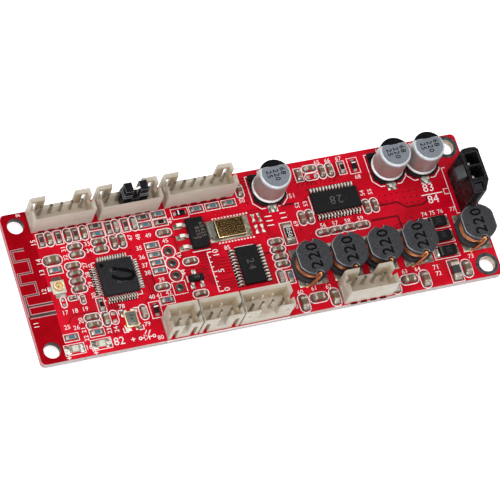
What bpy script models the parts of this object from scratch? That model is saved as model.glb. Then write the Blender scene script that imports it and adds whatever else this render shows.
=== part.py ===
"""Audio amplifier circuit board with headers, coils, capacitors and chips.

Metres, +Z up. The origin is the middle of the bare board's underside, +X runs along the
board towards the power connector, and +Y points to the row of three headers at the back.
Places are worked out from the board's front left corner, and placed() moves them to the origin.
"""

import math

import bmesh
import bpy

for leftover in list(bpy.data.objects):
    bpy.data.objects.remove(leftover, do_unlink=True)

MM = 0.001

# Board
board_thickness = 1.6 * MM
board_corner = 1.0 * MM
edge_margin = 0.15 * MM
hole_diameter = 3.2 * MM
hole_inset = 2.6 * MM
seat_gap = 0.1 * MM
seat_width = 1.8 * MM
seat_length = 2.0 * MM
middle_seat_left = 12.0 * MM
middle_seat_right = 20.0 * MM
solder_gap = 0.1 * MM
antenna_zone = 5.05 * MM
radio_zone = 19.35 * MM

# Row of four open plated holes
open_hole_diameter = 1.0 * MM
open_hole_pitch = 2.54 * MM
open_hole_count = 4
open_hole_left = 5.4 * MM
open_hole_front = 5.25 * MM

# Shrouded wire headers
pin_pitch = 2.0 * MM
pin_width = 0.5 * MM
pin_drop = 0.6 * MM
pin_tail = 1.3 * MM
pin_hole_clearance = 0.1 * MM
header_end = 1.95 * MM
header_depth = 4.5 * MM
header_height = 6.0 * MM
header_floor = 1.7 * MM
header_wall = 0.7 * MM
header_post = 3.05 * MM
header_least_gap = 0.9 * MM
header_pin_back = 1.7 * MM
header_notch = 1.05 * MM
header_notch_depth = 2.6 * MM
header_slot = 0.7 * MM
header_slot_inset = 1.0 * MM
header_slot_height = 3.6 * MM
back_row_pin_counts = (5, 5, 6)
back_row_gap = 1.3 * MM
front_row_pin_counts = (2, 3, 4)
front_row_gap = 0.35 * MM
speaker_pin_count = 4

# Jumper on two pins of the middle back header
jumper_header_index = 1
jumper_first_pin_index = 2
jumper_pin_count = 2
jumper_cheek = 1.55 * MM
jumper_front_gap = 0.55 * MM
jumper_back_gap = 0.25 * MM
jumper_floor_gap = 0.3 * MM
jumper_shoulder_drop = 0.7 * MM
jumper_rise = 1.9 * MM
jumper_gap = 1.4 * MM
jumper_bore_clearance = 0.25 * MM
contact_thickness = 0.2 * MM
contact_height = 0.8 * MM
contact_width = 1.2 * MM

# Coils on ferrite drums
coil_diameter = 7.4 * MM
coil_flat = 0.35 * MM
coil_height = 4.9 * MM
coil_flange = 1.1 * MM
coil_groove = 1.35 * MM
coil_notch = 0.55 * MM
coil_gap = 0.6 * MM
coil_left_gap = 3.5 * MM
coil_front_gap = 0.75 * MM
coil_row_count = 4
last_coil_step = 0.65 * MM
last_coil_margin = 0.05 * MM
winding_gap = 0.2 * MM
winding_inset = 0.3 * MM

# Diodes beside the last coil
diode_body_length = 3.6 * MM
diode_width = 2.15 * MM
diode_height = 1.1 * MM
diode_lead = 0.55 * MM
diode_lead_width = 1.5 * MM
diode_lead_thickness = 0.2 * MM
diode_gap = 1.0 * MM
diode_left_gap = 0.45 * MM
diode_right_gap = 0.7 * MM
diode_front_gap = 1.5 * MM
diode_count = 3

# Power connector
power_width = 3.7 * MM
power_height = 9.3 * MM
power_wall = 0.5 * MM
power_cell = 2.6 * MM
power_cell_wall = 0.25 * MM
power_end_wall = 1.0 * MM
power_pocket_wall = 0.85 * MM
power_cell_depth = 6.4 * MM
power_pocket = 1.6 * MM
power_pocket_depth = 3.2 * MM
power_corner = 1.3 * MM
power_corner_length = 2.3 * MM
power_pin = 0.8 * MM
power_pin_drop = 2.4 * MM
power_front_gap = 0.45 * MM
power_back_gap = 4.9 * MM
power_right_gap = 0.5 * MM
latch_reach = 1.3 * MM
latch_width = 2.45 * MM
latch_height = 2.4 * MM
latch_drop = 0.7 * MM

# Round capacitors on square bases
can_diameter = 6.3 * MM
can_height = 6.3 * MM
can_edge = 0.5 * MM
base_margin = 0.15 * MM
base_height = 1.0 * MM
base_corner = 1.3 * MM
base_tab = 1.1 * MM
base_tab_reach = 0.9 * MM
base_tab_thickness = 0.25 * MM
base_gap = 0.5 * MM
base_back_gap = 1.4 * MM
first_can_gap = 3.8 * MM
last_can_gap = 1.55 * MM

# Square chip with leads on four sides
quad_end = 0.75 * MM
quad_height = 1.4 * MM
quad_pitch = 0.5 * MM
quad_side_lead_count = 12
quad_reach = 1.0 * MM
quad_foot = 0.5 * MM
quad_lead_width = 0.22 * MM
quad_right_gap = 1.4 * MM
quad_front_gap = 2.55 * MM

# Two long chips with leads on two sides
slim_width = 4.4 * MM
slim_height = 1.0 * MM
slim_pitch = 0.65 * MM
slim_reach = 1.0 * MM
slim_foot = 0.5 * MM
slim_lead_width = 0.25 * MM
slim_end = 0.33 * MM
slim_front_lead_count = 12
slim_back_lead_count = 14
slim_back_end = 0.63 * MM
slim_front_gap = 2.95 * MM
slim_right_gap = 4.4 * MM
slim_back_gap = 6.3 * MM
lead_thickness = 0.15 * MM
lead_slope = 0.2 * MM

# Regulator, its heat block and the small transistor
regulator_width = 3.5 * MM
regulator_length = 6.3 * MM
regulator_height = 1.6 * MM
regulator_reach = 1.75 * MM
regulator_foot = 0.9 * MM
regulator_lead_width = 0.7 * MM
regulator_lead_pitch = 2.3 * MM
regulator_tab = 3.0 * MM
regulator_left = 8.15 * MM
regulator_back_gap = 3.25 * MM
block_length = 5.75 * MM
block_width = 3.75 * MM
block_height = 0.9 * MM
block_gap = 0.4 * MM
transistor_length = 2.9 * MM
transistor_width = 1.35 * MM
transistor_height = 1.1 * MM
transistor_reach = 0.6 * MM
transistor_foot = 0.3 * MM
transistor_lead_width = 0.42 * MM
transistor_lead_pitch = 0.95 * MM
transistor_left = 7.45 * MM
transistor_front_gap = 5.65 * MM

# Crystal, lamps, coaxial socket, shunt and suppressor
crystal_width = 2.5 * MM
crystal_length = 3.2 * MM
crystal_height = 0.75 * MM
crystal_boat = 0.45 * MM
crystal_step = 0.1 * MM
crystal_right_step = 0.3 * MM
crystal_front = 3.85 * MM
lamp_length = 2.0 * MM
lamp_width = 1.25 * MM
lamp_height = 0.8 * MM
lamp_base = 0.4 * MM
lamp_lens = 1.2 * MM
lamp_rim = 0.1 * MM
lamp_left = 0.75 * MM
lamp_front = 1.3 * MM
lamp_pitch = 5.2 * MM
lamp_count = 2
coax_margin = 0.3 * MM
coax_plate = 0.35 * MM
coax_height = 1.25 * MM
coax_ring = 2.0 * MM
coax_wall = 0.25 * MM
coax_pin = 0.4 * MM
coax_left = 0.75 * MM
coax_back_step = 0.4 * MM
shunt_width = 1.6 * MM
shunt_length = 3.2 * MM
shunt_height = 0.6 * MM
shunt_left = 4.25 * MM
shunt_front_gap = 2.1 * MM
suppressor_width = 1.6 * MM
suppressor_length = 3.2 * MM
suppressor_height = 0.9 * MM
suppressor_right = 8.55 * MM
suppressor_least_gap = 0.65 * MM
suppressor_front = 0.9 * MM

# Larger chip capacitors
chip_length = 2.0 * MM
chip_width = 1.25 * MM
chip_height = 1.1 * MM
chip_front = 1.0 * MM
chip_cross_front = 1.95 * MM
chip_gap = 1.55 * MM
chip_left_gap = 3.05 * MM
chip_speaker_gap = 0.65 * MM
corner_chip_gap = 1.0 * MM
antenna_chip_left = 1.45 * MM
antenna_chip_back_gap = 5.5 * MM

ROUND_SEGMENTS = 32
SMALL_SEGMENTS = 8
ARC_STEPS = 6
EDGE_STEPS = 4
BEND_STEPS = 10


def header_length(pins):
    """Length of a header with so many pins."""
    return (pins - 1) * pin_pitch + 2 * header_end


def row_starts(first, pin_counts, gap):
    """Left ends of a row of headers, and the right end of the last one."""
    starts = []
    for pins in pin_counts:
        starts.append(first)
        first += header_length(pins) + gap
    return starts, first - gap


# Sizes that follow from others
pin_top = header_height - pin_drop
header_pin_line = header_depth - header_pin_back
jumper_depth = header_depth - 2 * header_wall - jumper_front_gap - jumper_back_gap
jumper_low = header_floor + jumper_floor_gap
jumper_shoulder = pin_top - jumper_shoulder_drop - jumper_low
jumper_height = pin_top + jumper_rise - jumper_low
coil_width = coil_diameter - 2 * coil_flat
coil_post = coil_width - 2 * coil_groove
power_cell_pitch = power_cell + power_cell_wall
power_length = power_end_wall + power_cell_pitch + power_cell + power_pocket_wall + power_pocket + power_wall
base_side = can_diameter + 2 * base_margin
quad_side = (quad_side_lead_count - 1) * quad_pitch + 2 * quad_end
coax_side = coax_ring + 2 * coax_margin
chip_group = chip_length + 2 * chip_width + 2 * chip_gap

# Places along the board, from its left edge
front_row_left = antenna_zone + radio_zone
back_starts, back_row_right = row_starts(antenna_zone, back_row_pin_counts, back_row_gap)
front_starts, front_row_right = row_starts(front_row_left, front_row_pin_counts, front_row_gap)
speaker_left = front_row_right + chip_left_gap + chip_group + chip_speaker_gap
speaker_middle = speaker_left + header_length(speaker_pin_count) / 2
coil_row_left = front_row_right + coil_left_gap
coil_row_right = coil_row_left + coil_row_count * coil_width + (coil_row_count - 1) * coil_gap
diode_span = diode_body_length + 2 * diode_lead
diode_middle_x = coil_row_right + diode_left_gap + diode_span / 2
last_coil_left = coil_row_right + diode_left_gap + diode_span + diode_right_gap
coil_reach = last_coil_left + coil_width + last_coil_margin
chip_row_right = speaker_left + header_length(speaker_pin_count) + chip_speaker_gap + chip_group
front_reach = chip_row_right + suppressor_least_gap + suppressor_width + suppressor_right
board_length = max(coil_reach, front_reach)
power_left = board_length - power_right_gap - power_width
last_can_x = power_left - last_can_gap - base_side / 2
first_can_x = back_row_right + first_can_gap + base_side / 2

# Places across the board, from its front edge
front_row_back = edge_margin + header_depth
coil_middle_y = front_row_back + coil_front_gap + coil_diameter / 2
coil_row_back = coil_middle_y + coil_diameter / 2
last_coil_y = coil_middle_y + last_coil_step
power_front = last_coil_y + coil_diameter / 2 + power_front_gap
board_width = power_front + power_length + power_back_gap + hole_inset
back_row_front = board_width - edge_margin - header_depth
can_middle_y = board_width - base_back_gap - base_side / 2

# Places of the flat parts
quad_span = quad_side + 2 * quad_reach
crystal_y = crystal_front + crystal_length / 2
quad_x = front_row_left - quad_right_gap - quad_span / 2
quad_y = crystal_y + crystal_length / 2 + quad_front_gap + quad_span / 2
slim_front_length = (slim_front_lead_count - 1) * slim_pitch + 2 * slim_end
slim_back_length = (slim_back_lead_count - 1) * slim_pitch + 2 * slim_back_end
slim_span = slim_width + 2 * slim_reach
regulator_tip = front_row_left + regulator_left
regulator_x = regulator_tip + regulator_reach + regulator_width / 2
regulator_y = back_row_front - regulator_back_gap - regulator_length / 2
block_left = regulator_x + regulator_width / 2 + regulator_reach + block_gap


def material(name, colour, roughness, metallic=0.0):
    """A plain material with the part's colour and shine."""
    made = bpy.data.materials.new(name)
    made.use_nodes = True
    shader = made.node_tree.nodes["Principled BSDF"]
    shader.inputs["Base Color"].default_value = (*colour, 1.0)
    shader.inputs["Roughness"].default_value = roughness
    shader.inputs["Metallic"].default_value = metallic
    made.diffuse_color = (*colour, 1.0)
    return made


solder_mask = material("solder_mask", (0.55, 0.005, 0.02), 0.35)
cream_plastic = material("cream_plastic", (0.62, 0.57, 0.48), 0.5)
black_plastic = material("black_plastic", (0.02, 0.02, 0.022), 0.45)
moulding = material("chip_moulding", (0.03, 0.03, 0.032), 0.6)
ferrite = material("ferrite", (0.05, 0.05, 0.055), 0.55)
copper_wire = material("copper_wire", (0.75, 0.32, 0.12), 0.35, 1.0)
can_metal = material("can_metal", (0.75, 0.76, 0.78), 0.3, 1.0)
tinned_metal = material("tinned_metal", (0.7, 0.7, 0.68), 0.3, 1.0)
brass = material("brass", (0.45, 0.33, 0.12), 0.35, 1.0)
gold = material("gold", (0.8, 0.6, 0.3), 0.3, 1.0)
lamp_resin = material("lamp_resin", (0.75, 0.74, 0.66), 0.3)
ceramic_brown = material("ceramic_brown", (0.3, 0.2, 0.14), 0.5)
resistor_black = material("resistor_black", (0.03, 0.03, 0.03), 0.4)


def outline_stack(rings):
    """A closed mesh through outlines with equal numbers of points, from the bottom up."""
    shape = bmesh.new()
    loops = [[shape.verts.new(point) for point in ring] for ring in rings]
    shape.faces.new(list(reversed(loops[0])))
    shape.faces.new(loops[-1])
    for lower, upper in zip(loops, loops[1:]):
        for here in range(len(lower)):
            after = (here + 1) % len(lower)
            shape.faces.new((lower[here], lower[after], upper[after], upper[here]))
    bmesh.ops.recalc_face_normals(shape, faces=shape.faces)
    mesh = bpy.data.meshes.new("shape")
    shape.to_mesh(mesh)
    shape.free()
    return mesh


def prism(outline, low, high):
    """An upright prism over a flat outline of x, y points."""
    return outline_stack([[(x, y, z) for x, y in outline] for z in (low, high)])


def rectangle(width, length, centre=(0.0, 0.0)):
    """Corners of a rectangle, anticlockwise."""
    x, y = centre
    corners = ((-1, -1), (1, -1), (1, 1), (-1, 1))
    return [(x + side_x * width / 2, y + side_y * length / 2) for side_x, side_y in corners]


def circle(diameter, centre=(0.0, 0.0), segments=ROUND_SEGMENTS):
    """Points of a circle, anticlockwise."""
    angles = [2 * math.pi * step / segments for step in range(segments)]
    return [(centre[0] + diameter / 2 * math.cos(a), centre[1] + diameter / 2 * math.sin(a)) for a in angles]


def rounded_rectangle(width, length, radius, segments=ARC_STEPS):
    """Corners of a rectangle, each turned by an arc."""
    points = []
    for turn, (side_x, side_y) in enumerate(((1, 1), (-1, 1), (-1, -1), (1, -1))):
        centre = (side_x * (width / 2 - radius), side_y * (length / 2 - radius))
        for step in range(segments + 1):
            angle = math.pi / 2 * (turn + step / segments)
            points.append((centre[0] + radius * math.cos(angle), centre[1] + radius * math.sin(angle)))
    return points


def joined_boxes(boxes):
    """One mesh of separate boxes, each given by its low and high corners."""
    shape = bmesh.new()
    for low, high in boxes:
        corners = [
            shape.verts.new((x, y, z))
            for z in (low[2], high[2])
            for y in (low[1], high[1])
            for x in (low[0], high[0])
        ]
        for face in ((0, 2, 3, 1), (4, 5, 7, 6), (0, 1, 5, 4), (2, 6, 7, 3), (0, 4, 6, 2), (1, 3, 7, 5)):
            shape.faces.new([corners[index] for index in face])
    mesh = bpy.data.meshes.new("boxes")
    shape.to_mesh(mesh)
    shape.free()
    return mesh


def joined_prisms(prisms):
    """One mesh of separate upright solids, each given by its bottom and top outlines and heights."""
    shape = bmesh.new()
    for lower, upper, low, high in prisms:
        part = outline_stack([[(x, y, low) for x, y in lower], [(x, y, high) for x, y in upper]])
        shape.from_mesh(part)
        bpy.data.meshes.remove(part)
    mesh = bpy.data.meshes.new("prisms")
    shape.to_mesh(mesh)
    shape.free()
    return mesh


def turned(profile, segments=ROUND_SEGMENTS):
    """A solid turned about Z from a profile of radius, height points that starts and ends on the axis."""
    shape = bmesh.new()
    bottom = shape.verts.new((0, 0, profile[0][1]))
    top = shape.verts.new((0, 0, profile[-1][1]))
    rings = []
    for radius, height in profile[1:-1]:
        rings.append([shape.verts.new((x, y, height)) for x, y in circle(2 * radius, segments=segments)])
    for here in range(segments):
        after = (here + 1) % segments
        shape.faces.new((bottom, rings[0][after], rings[0][here]))
        shape.faces.new((top, rings[-1][here], rings[-1][after]))
        for lower, upper in zip(rings, rings[1:]):
            shape.faces.new((lower[here], lower[after], upper[after], upper[here]))
    mesh = bpy.data.meshes.new("turned")
    shape.to_mesh(mesh)
    shape.free()
    return mesh


def combined(first, *others, operation="UNION"):
    """First with each other mesh joined to it or cut from it; the meshes that go in are used up."""
    for other in others:
        body = bpy.data.objects.new("body", first)
        tool = bpy.data.objects.new("tool", other)
        for item in (body, tool):
            bpy.context.scene.collection.objects.link(item)
        step = body.modifiers.new("combine", "BOOLEAN")
        step.operation = operation
        step.solver = "EXACT"
        step.object = tool
        bpy.context.view_layer.update()
        result = bpy.data.meshes.new_from_object(body.evaluated_get(bpy.context.evaluated_depsgraph_get()))
        for item in (body, tool):
            bpy.data.objects.remove(item, do_unlink=True)
        bpy.data.meshes.remove(first)
        bpy.data.meshes.remove(other)
        first = result
    return first


def cut(first, *others):
    """First with each other mesh cut from it."""
    return combined(first, *others, operation="DIFFERENCE")


def placed(name, mesh, surface, x, y, z=0.0, turn=0.0, smooth=False):
    """A named piece at a place measured from the board's front left corner and its top face."""
    piece = bpy.data.objects.new(name, mesh)
    bpy.context.scene.collection.objects.link(piece)
    piece.location = (x - board_length / 2, y - board_width / 2, board_thickness + z)
    piece.rotation_euler.z = math.radians(turn)
    mesh.materials.clear()
    mesh.materials.append(surface)
    if smooth:
        mesh.shade_smooth()
        mesh.set_sharp_from_angle(angle=math.radians(35))
    return piece


def pin_offsets(pins):
    """Places of a header's pins along its length, from its middle."""
    return [(index - (pins - 1) / 2) * pin_pitch for index in range(pins)]


def square_pins(spots, width, low, high):
    """Upright square pins at the given places."""
    return joined_boxes(
        [((x - width / 2, y - width / 2, low), (x + width / 2, y + width / 2, high)) for x, y in spots]
    )


def header_pin_y():
    """The pin line across a header, from its middle; the plain wall is on the low side."""
    return header_pin_line - header_depth / 2


def header_mesh(pins):
    """A shrouded header: plain wall on the low Y side, two posts and a gap on the high side."""
    length = header_length(pins)
    half_x, half_y = length / 2, header_depth / 2
    over = header_wall
    gap = max(length - 2 * header_post, header_least_gap)
    inner_back = half_y - header_wall
    slots = [side * (half_x - header_slot_inset) for side in (-1, 1)]
    notch_low = header_height - header_notch_depth
    housing = prism(rectangle(length, header_depth), solder_gap, header_height)
    cavity = joined_boxes(
        [
            (
                (-half_x + header_wall, -half_y + header_wall, header_floor),
                (half_x - header_wall, inner_back, header_height + over),
            )
        ]
    )
    post_gap = joined_boxes(
        [((-gap / 2, inner_back - over, header_floor), (gap / 2, half_y + over, header_height + over))]
    )
    end_notch = joined_boxes(
        [
            (
                (-half_x - over, inner_back - header_notch - over, notch_low),
                (half_x + over, inner_back - over, header_height + over),
            )
        ]
    )
    post_slots = joined_boxes(
        [
            (
                (x - header_slot / 2, inner_back - solder_gap, solder_gap - over),
                (x + header_slot / 2, half_y + over, header_slot_height),
            )
            for x in slots
        ]
    )
    housing = cut(housing, cavity, post_gap, end_notch, post_slots)
    spots = [(x, header_pin_y()) for x in pin_offsets(pins)]
    tails = square_pins(spots, pin_width, -board_thickness - pin_tail, pin_top)
    return combined(housing, tails)


def jumper_mesh():
    """The jumper's cap: a low body with two towers, bored for the pins."""
    half_x = (jumper_pin_count - 1) * pin_pitch / 2 + jumper_cheek
    half_y = jumper_depth / 2
    tower_low = jumper_gap / 2
    bore = pin_width / 2 + jumper_bore_clearance
    bore_top = pin_top + jumper_bore_clearance - jumper_low
    top = jumper_height
    bore_y = jumper_pin_step()
    body = prism(rectangle(2 * half_x, jumper_depth), 0.0, top)
    past = half_y + jumper_cheek
    middle = joined_boxes([((-tower_low, -past, jumper_shoulder), (tower_low, past, top + jumper_cheek))])
    bores = joined_boxes(
        [
            ((x - bore, bore_y - bore, -bore), (x + bore, bore_y + bore, bore_top))
            for x in pin_offsets(jumper_pin_count)
        ]
    )
    return cut(body, middle, bores)


def jumper_pin_step():
    """The pin line across the jumper, from the jumper's middle."""
    return header_wall + jumper_back_gap + jumper_depth / 2 - header_pin_back


def contact_mesh():
    """The bent metal strip that shows between the jumper's towers."""
    reach = jumper_gap / 2 - solder_gap
    inner = reach - contact_thickness
    rise = contact_height - contact_thickness
    outer_arc = [(reach * math.cos(a), contact_height * math.sin(a)) for a in half_turn(BEND_STEPS)]
    inner_arc = [(inner * math.cos(a), rise * math.sin(a)) for a in half_turn(BEND_STEPS)]
    outline = outer_arc + list(reversed(inner_arc))
    return outline_stack([[(x, y, z) for x, z in outline] for y in (-contact_width / 2, contact_width / 2)])


def half_turn(steps):
    """Angles of a half turn from right to left."""
    return [math.pi * step / steps for step in range(steps + 1)]


def drum_outline():
    """A coil flange seen from above: round with two flat sides, a round notch in front and a V behind."""
    radius = coil_diameter / 2
    flat = coil_width / 2
    start = math.acos(flat / radius)
    notch_turn = coil_notch / radius
    sweep = math.pi / 2 - notch_turn - start
    back = [start + sweep * step / ARC_STEPS for step in range(ARC_STEPS + 1)]
    points = [(radius * math.cos(a), radius * math.sin(a)) for a in back]
    points.append((0.0, radius - coil_notch))
    points += [(-x, y) for x, y in reversed(points[:-1])]
    front = [(-x, -y) for x, y in points[: ARC_STEPS + 1]]
    points += front
    notch = [math.pi - math.pi * step / ARC_STEPS for step in range(1, ARC_STEPS)]
    points += [(coil_notch * math.cos(a), -radius + coil_notch * math.sin(a)) for a in notch]
    points += [(-x, y) for x, y in reversed(front)]
    return points


def coil_core_mesh():
    """A ferrite drum: two flanges with a round post between them."""
    outline = drum_outline()
    low = prism(outline, solder_gap, coil_flange)
    high = prism(outline, coil_height - coil_flange, coil_height)
    middle = coil_flange / 2
    post = prism(circle(coil_post), middle, coil_height - middle)
    return combined(low, post, high)


def coil_winding_mesh():
    """The winding as one ring round the drum's post."""
    inner = coil_post / 2 + winding_gap
    outer = coil_width / 2 - winding_inset
    low = coil_flange + winding_gap
    high = coil_height - coil_flange - winding_gap
    ring = prism(circle(2 * outer), low, high)
    return cut(ring, prism(circle(2 * inner), low - coil_flange, high + coil_flange))


def lead_profile(reach, foot, height, thickness):
    """A bent lead's side: out of the body, down and along the board; x is outward from the body."""
    middle = height / 2
    heel = reach - foot
    shoulder = heel - lead_slope
    return [
        (-thickness, middle + thickness),
        (shoulder, middle + thickness),
        (heel, solder_gap + thickness),
        (reach, solder_gap + thickness),
        (reach, solder_gap),
        (heel - thickness, solder_gap),
        (shoulder - thickness, middle),
        (-thickness, middle),
    ]


def leads_mesh(rows, thickness):
    """Bent leads; each row has a side (1, 0), (-1, 0), (0, 1) or (0, -1), the body's half width there,
    the places along the side, and the leads' width, reach, foot length and body height."""
    shape = bmesh.new()
    for (side_x, side_y), half, places, width, reach, foot, height in rows:
        profile = lead_profile(reach, foot, height, thickness)
        for place in places:
            rings = []
            for edge in (place - width / 2, place + width / 2):
                rings.append(
                    [
                        ((half + out) * side_x - edge * side_y, (half + out) * side_y + edge * side_x, z)
                        for out, z in profile
                    ]
                )
            part = outline_stack(rings)
            shape.from_mesh(part)
            bpy.data.meshes.remove(part)
    mesh = bpy.data.meshes.new("leads")
    shape.to_mesh(mesh)
    shape.free()
    return mesh


def moulded_body(width, length, height, stand_off, draft):
    """A chip's moulded body, widest where its leads leave it."""
    middle = height / 2
    levels = ((stand_off, draft), (middle, 0.0), (height, draft))
    return outline_stack(
        [[(x, y, z) for x, y in rectangle(width - 2 * inset, length - 2 * inset)] for z, inset in levels]
    )


def spread(count, pitch):
    """Places of so many items about a middle."""
    return [(index - (count - 1) / 2) * pitch for index in range(count)]


def quad_mesh():
    """The square chip with leads on its four sides."""
    places = spread(quad_side_lead_count, quad_pitch)
    rows = [
        (side, quad_side / 2, places, quad_lead_width, quad_reach, quad_foot, quad_height)
        for side in ((1, 0), (-1, 0), (0, 1), (0, -1))
    ]
    body = moulded_body(quad_side, quad_side, quad_height, 2 * solder_gap, solder_gap)
    return combined(body, leads_mesh(rows, lead_thickness))


def slim_mesh(leads, length):
    """A long chip with leads on its two long sides, which face -X and +X."""
    places = spread(leads, slim_pitch)
    rows = [
        (side, slim_width / 2, places, slim_lead_width, slim_reach, slim_foot, slim_height)
        for side in ((1, 0), (-1, 0))
    ]
    body = moulded_body(slim_width, length, slim_height, 2 * solder_gap, solder_gap)
    return combined(body, leads_mesh(rows, lead_thickness))


def regulator_mesh():
    """The regulator: three leads on its left and a wide tab on its right."""
    half = regulator_width / 2
    form = (regulator_reach, regulator_foot, regulator_height)
    rows = [
        ((-1, 0), half, spread(3, regulator_lead_pitch), regulator_lead_width, *form),
        ((1, 0), half, [0.0], regulator_tab, *form),
    ]
    body = moulded_body(regulator_width, regulator_length, regulator_height, 2 * solder_gap, solder_gap)
    return combined(body, leads_mesh(rows, 2 * lead_thickness))


def transistor_mesh():
    """The small transistor: one lead behind and two in front."""
    half = transistor_width / 2
    form = (transistor_lead_width, transistor_reach, transistor_foot, transistor_height)
    rows = [
        ((0, 1), half, [0.0], *form),
        ((0, -1), half, [-transistor_lead_pitch, transistor_lead_pitch], *form),
    ]
    body = moulded_body(transistor_length, transistor_width, transistor_height, 2 * solder_gap, solder_gap)
    return combined(body, leads_mesh(rows, lead_thickness))


def diode_mesh():
    """A flat diode: a moulded body with a lead at each end."""
    body = moulded_body(diode_body_length, diode_width, diode_height, solder_gap, solder_gap)
    half = diode_span / 2
    half_lead = diode_lead_width / 2
    strip = joined_boxes(
        [((-half, -half_lead, 2 * solder_gap), (half, half_lead, 2 * solder_gap + diode_lead_thickness))]
    )
    return combined(body, strip)


def chip_mesh(width, length, height):
    """A plain chip part, its rim eased a little."""
    return outline_stack(
        [
            [(x, y, z) for x, y in rectangle(width - 2 * inset, length - 2 * inset)]
            for z, inset in ((solder_gap, 0.0), (height - solder_gap, 0.0), (height, solder_gap))
        ]
    )


def crystal_mesh():
    """The crystal: a ceramic boat under a slightly smaller metal lid."""
    levels = (
        (solder_gap, 0.0),
        (crystal_boat, 0.0),
        (crystal_boat, crystal_step),
        (crystal_height, 2 * crystal_step),
    )
    rings = []
    for z, inset in levels:
        rings.append(
            [(x, y, z) for x, y in rectangle(crystal_width - 2 * inset, crystal_length - 2 * inset)]
        )
    return outline_stack(rings)


def lamp_mesh():
    """A lamp: a flat body with a narrower lens on top."""
    body = prism(rectangle(lamp_length, lamp_width), solder_gap, lamp_base)
    lens = prism(rectangle(lamp_lens, lamp_width - 2 * lamp_rim), lamp_base / 2, lamp_height)
    return combined(body, lens)


def coax_mesh():
    """The coaxial socket: a square plate with a round shell and a pin in its middle."""
    plate = prism(rectangle(coax_side, coax_side), solder_gap, coax_plate)
    shell = prism(circle(coax_ring), coax_plate / 2, coax_height)
    bore = prism(circle(coax_ring - 2 * coax_wall), coax_plate, coax_height * 2)
    pin = prism(circle(coax_pin, segments=SMALL_SEGMENTS), coax_plate / 2, coax_height - coax_wall)
    return combined(cut(combined(plate, shell), bore), pin)


def capacitor_base_mesh():
    """The square base under a round capacitor, its front corners cut, with a metal tab front and back."""
    half = base_side / 2
    corner = base_corner
    outline = [
        (-half + corner, -half),
        (half - corner, -half),
        (half, -half + corner),
        (half, half),
        (-half, half),
        (-half, -half + corner),
    ]
    base = prism(outline, 2 * solder_gap, base_height)
    reach = half + base_tab_reach
    tabs = joined_boxes(
        [((-base_tab / 2, -reach, solder_gap), (base_tab / 2, reach, solder_gap + base_tab_thickness))]
    )
    return combined(base, tabs)


def capacitor_can_mesh():
    """A round can with a rounded top edge."""
    radius = can_diameter / 2
    turn = [math.pi / 2 * step / EDGE_STEPS for step in range(EDGE_STEPS + 1)]
    inner, shoulder = radius - can_edge, can_height - can_edge
    edge = [(inner + can_edge * math.cos(a), shoulder + can_edge * math.sin(a)) for a in turn]
    return turned([(0.0, 0.0), (radius, 0.0)] + edge + [(0.0, can_height)])


def power_cells():
    """Middles of the two power cells across the connector, from its middle."""
    back = power_length / 2 - power_end_wall - power_cell / 2
    return [back, back - power_cell_pitch]


def power_outline():
    """The power connector from above: a rectangle with its front right corner cut."""
    half_x, half_y = power_width / 2, power_length / 2
    return [
        (-half_x, -half_y),
        (half_x - power_corner, -half_y),
        (half_x, -half_y + power_corner_length),
        (half_x, half_y),
        (-half_x, half_y),
    ]


def power_mesh():
    """The power connector: a tall housing with two pin cells, a pocket, a latch ramp and two pins."""
    half_x, half_y = power_width / 2, power_length / 2
    inner = half_x - power_wall
    top = power_height + power_wall
    housing = prism(power_outline(), solder_gap, power_height)
    cells = joined_boxes(
        [
            ((-inner, y - power_cell / 2, power_height - power_cell_depth), (inner, y + power_cell / 2, top))
            for y in power_cells()
        ]
    )
    pocket_front = -half_y + power_wall
    pocket = joined_boxes(
        [
            (
                (-inner, pocket_front, power_height - power_pocket_depth),
                (half_x - power_corner - power_wall, pocket_front + power_pocket, top),
            )
        ]
    )
    ramp_top = power_height - latch_drop
    ramp = outline_stack(
        [
            [
                (-half_x + power_wall / 2, y, ramp_top),
                (-half_x + power_wall / 2, y, ramp_top - latch_height),
                (-half_x - latch_reach, y, ramp_top - latch_height),
                (-half_x - latch_reach, y, ramp_top - latch_height / 2),
                (-half_x, y, ramp_top),
            ]
            for y in (-latch_width / 2, latch_width / 2)
        ]
    )
    spots = [(0.0, y) for y in power_cells()]
    pins = square_pins(spots, power_pin, -board_thickness - pin_tail, power_height - power_pin_drop)
    return combined(cut(housing, cells, pocket), ramp, pins)


def header_places():
    """Each header's name, pins, middle and turn: the front row faces the other way."""
    places = []
    for index, (left, pins) in enumerate(zip(back_starts, back_row_pin_counts)):
        middle = (left + header_length(pins) / 2, back_row_front + header_depth / 2)
        places.append((f"header_back_{index + 1}", pins, middle, 0.0))
    for index, (left, pins) in enumerate(zip(front_starts, front_row_pin_counts)):
        middle = (left + header_length(pins) / 2, edge_margin + header_depth / 2)
        places.append((f"header_front_{index + 1}", pins, middle, 180.0))
    middle = (speaker_middle, edge_margin + header_depth / 2)
    places.append(("header_speaker", speaker_pin_count, middle, 0.0))
    return places


def pin_spots():
    """Every header pin on the board, from its front left corner."""
    spots = []
    for _, pins, (x, y), turn in header_places():
        side = 1 if turn == 0.0 else -1
        spots += [(x + offset, y + side * header_pin_y()) for offset in pin_offsets(pins)]
    return spots


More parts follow.
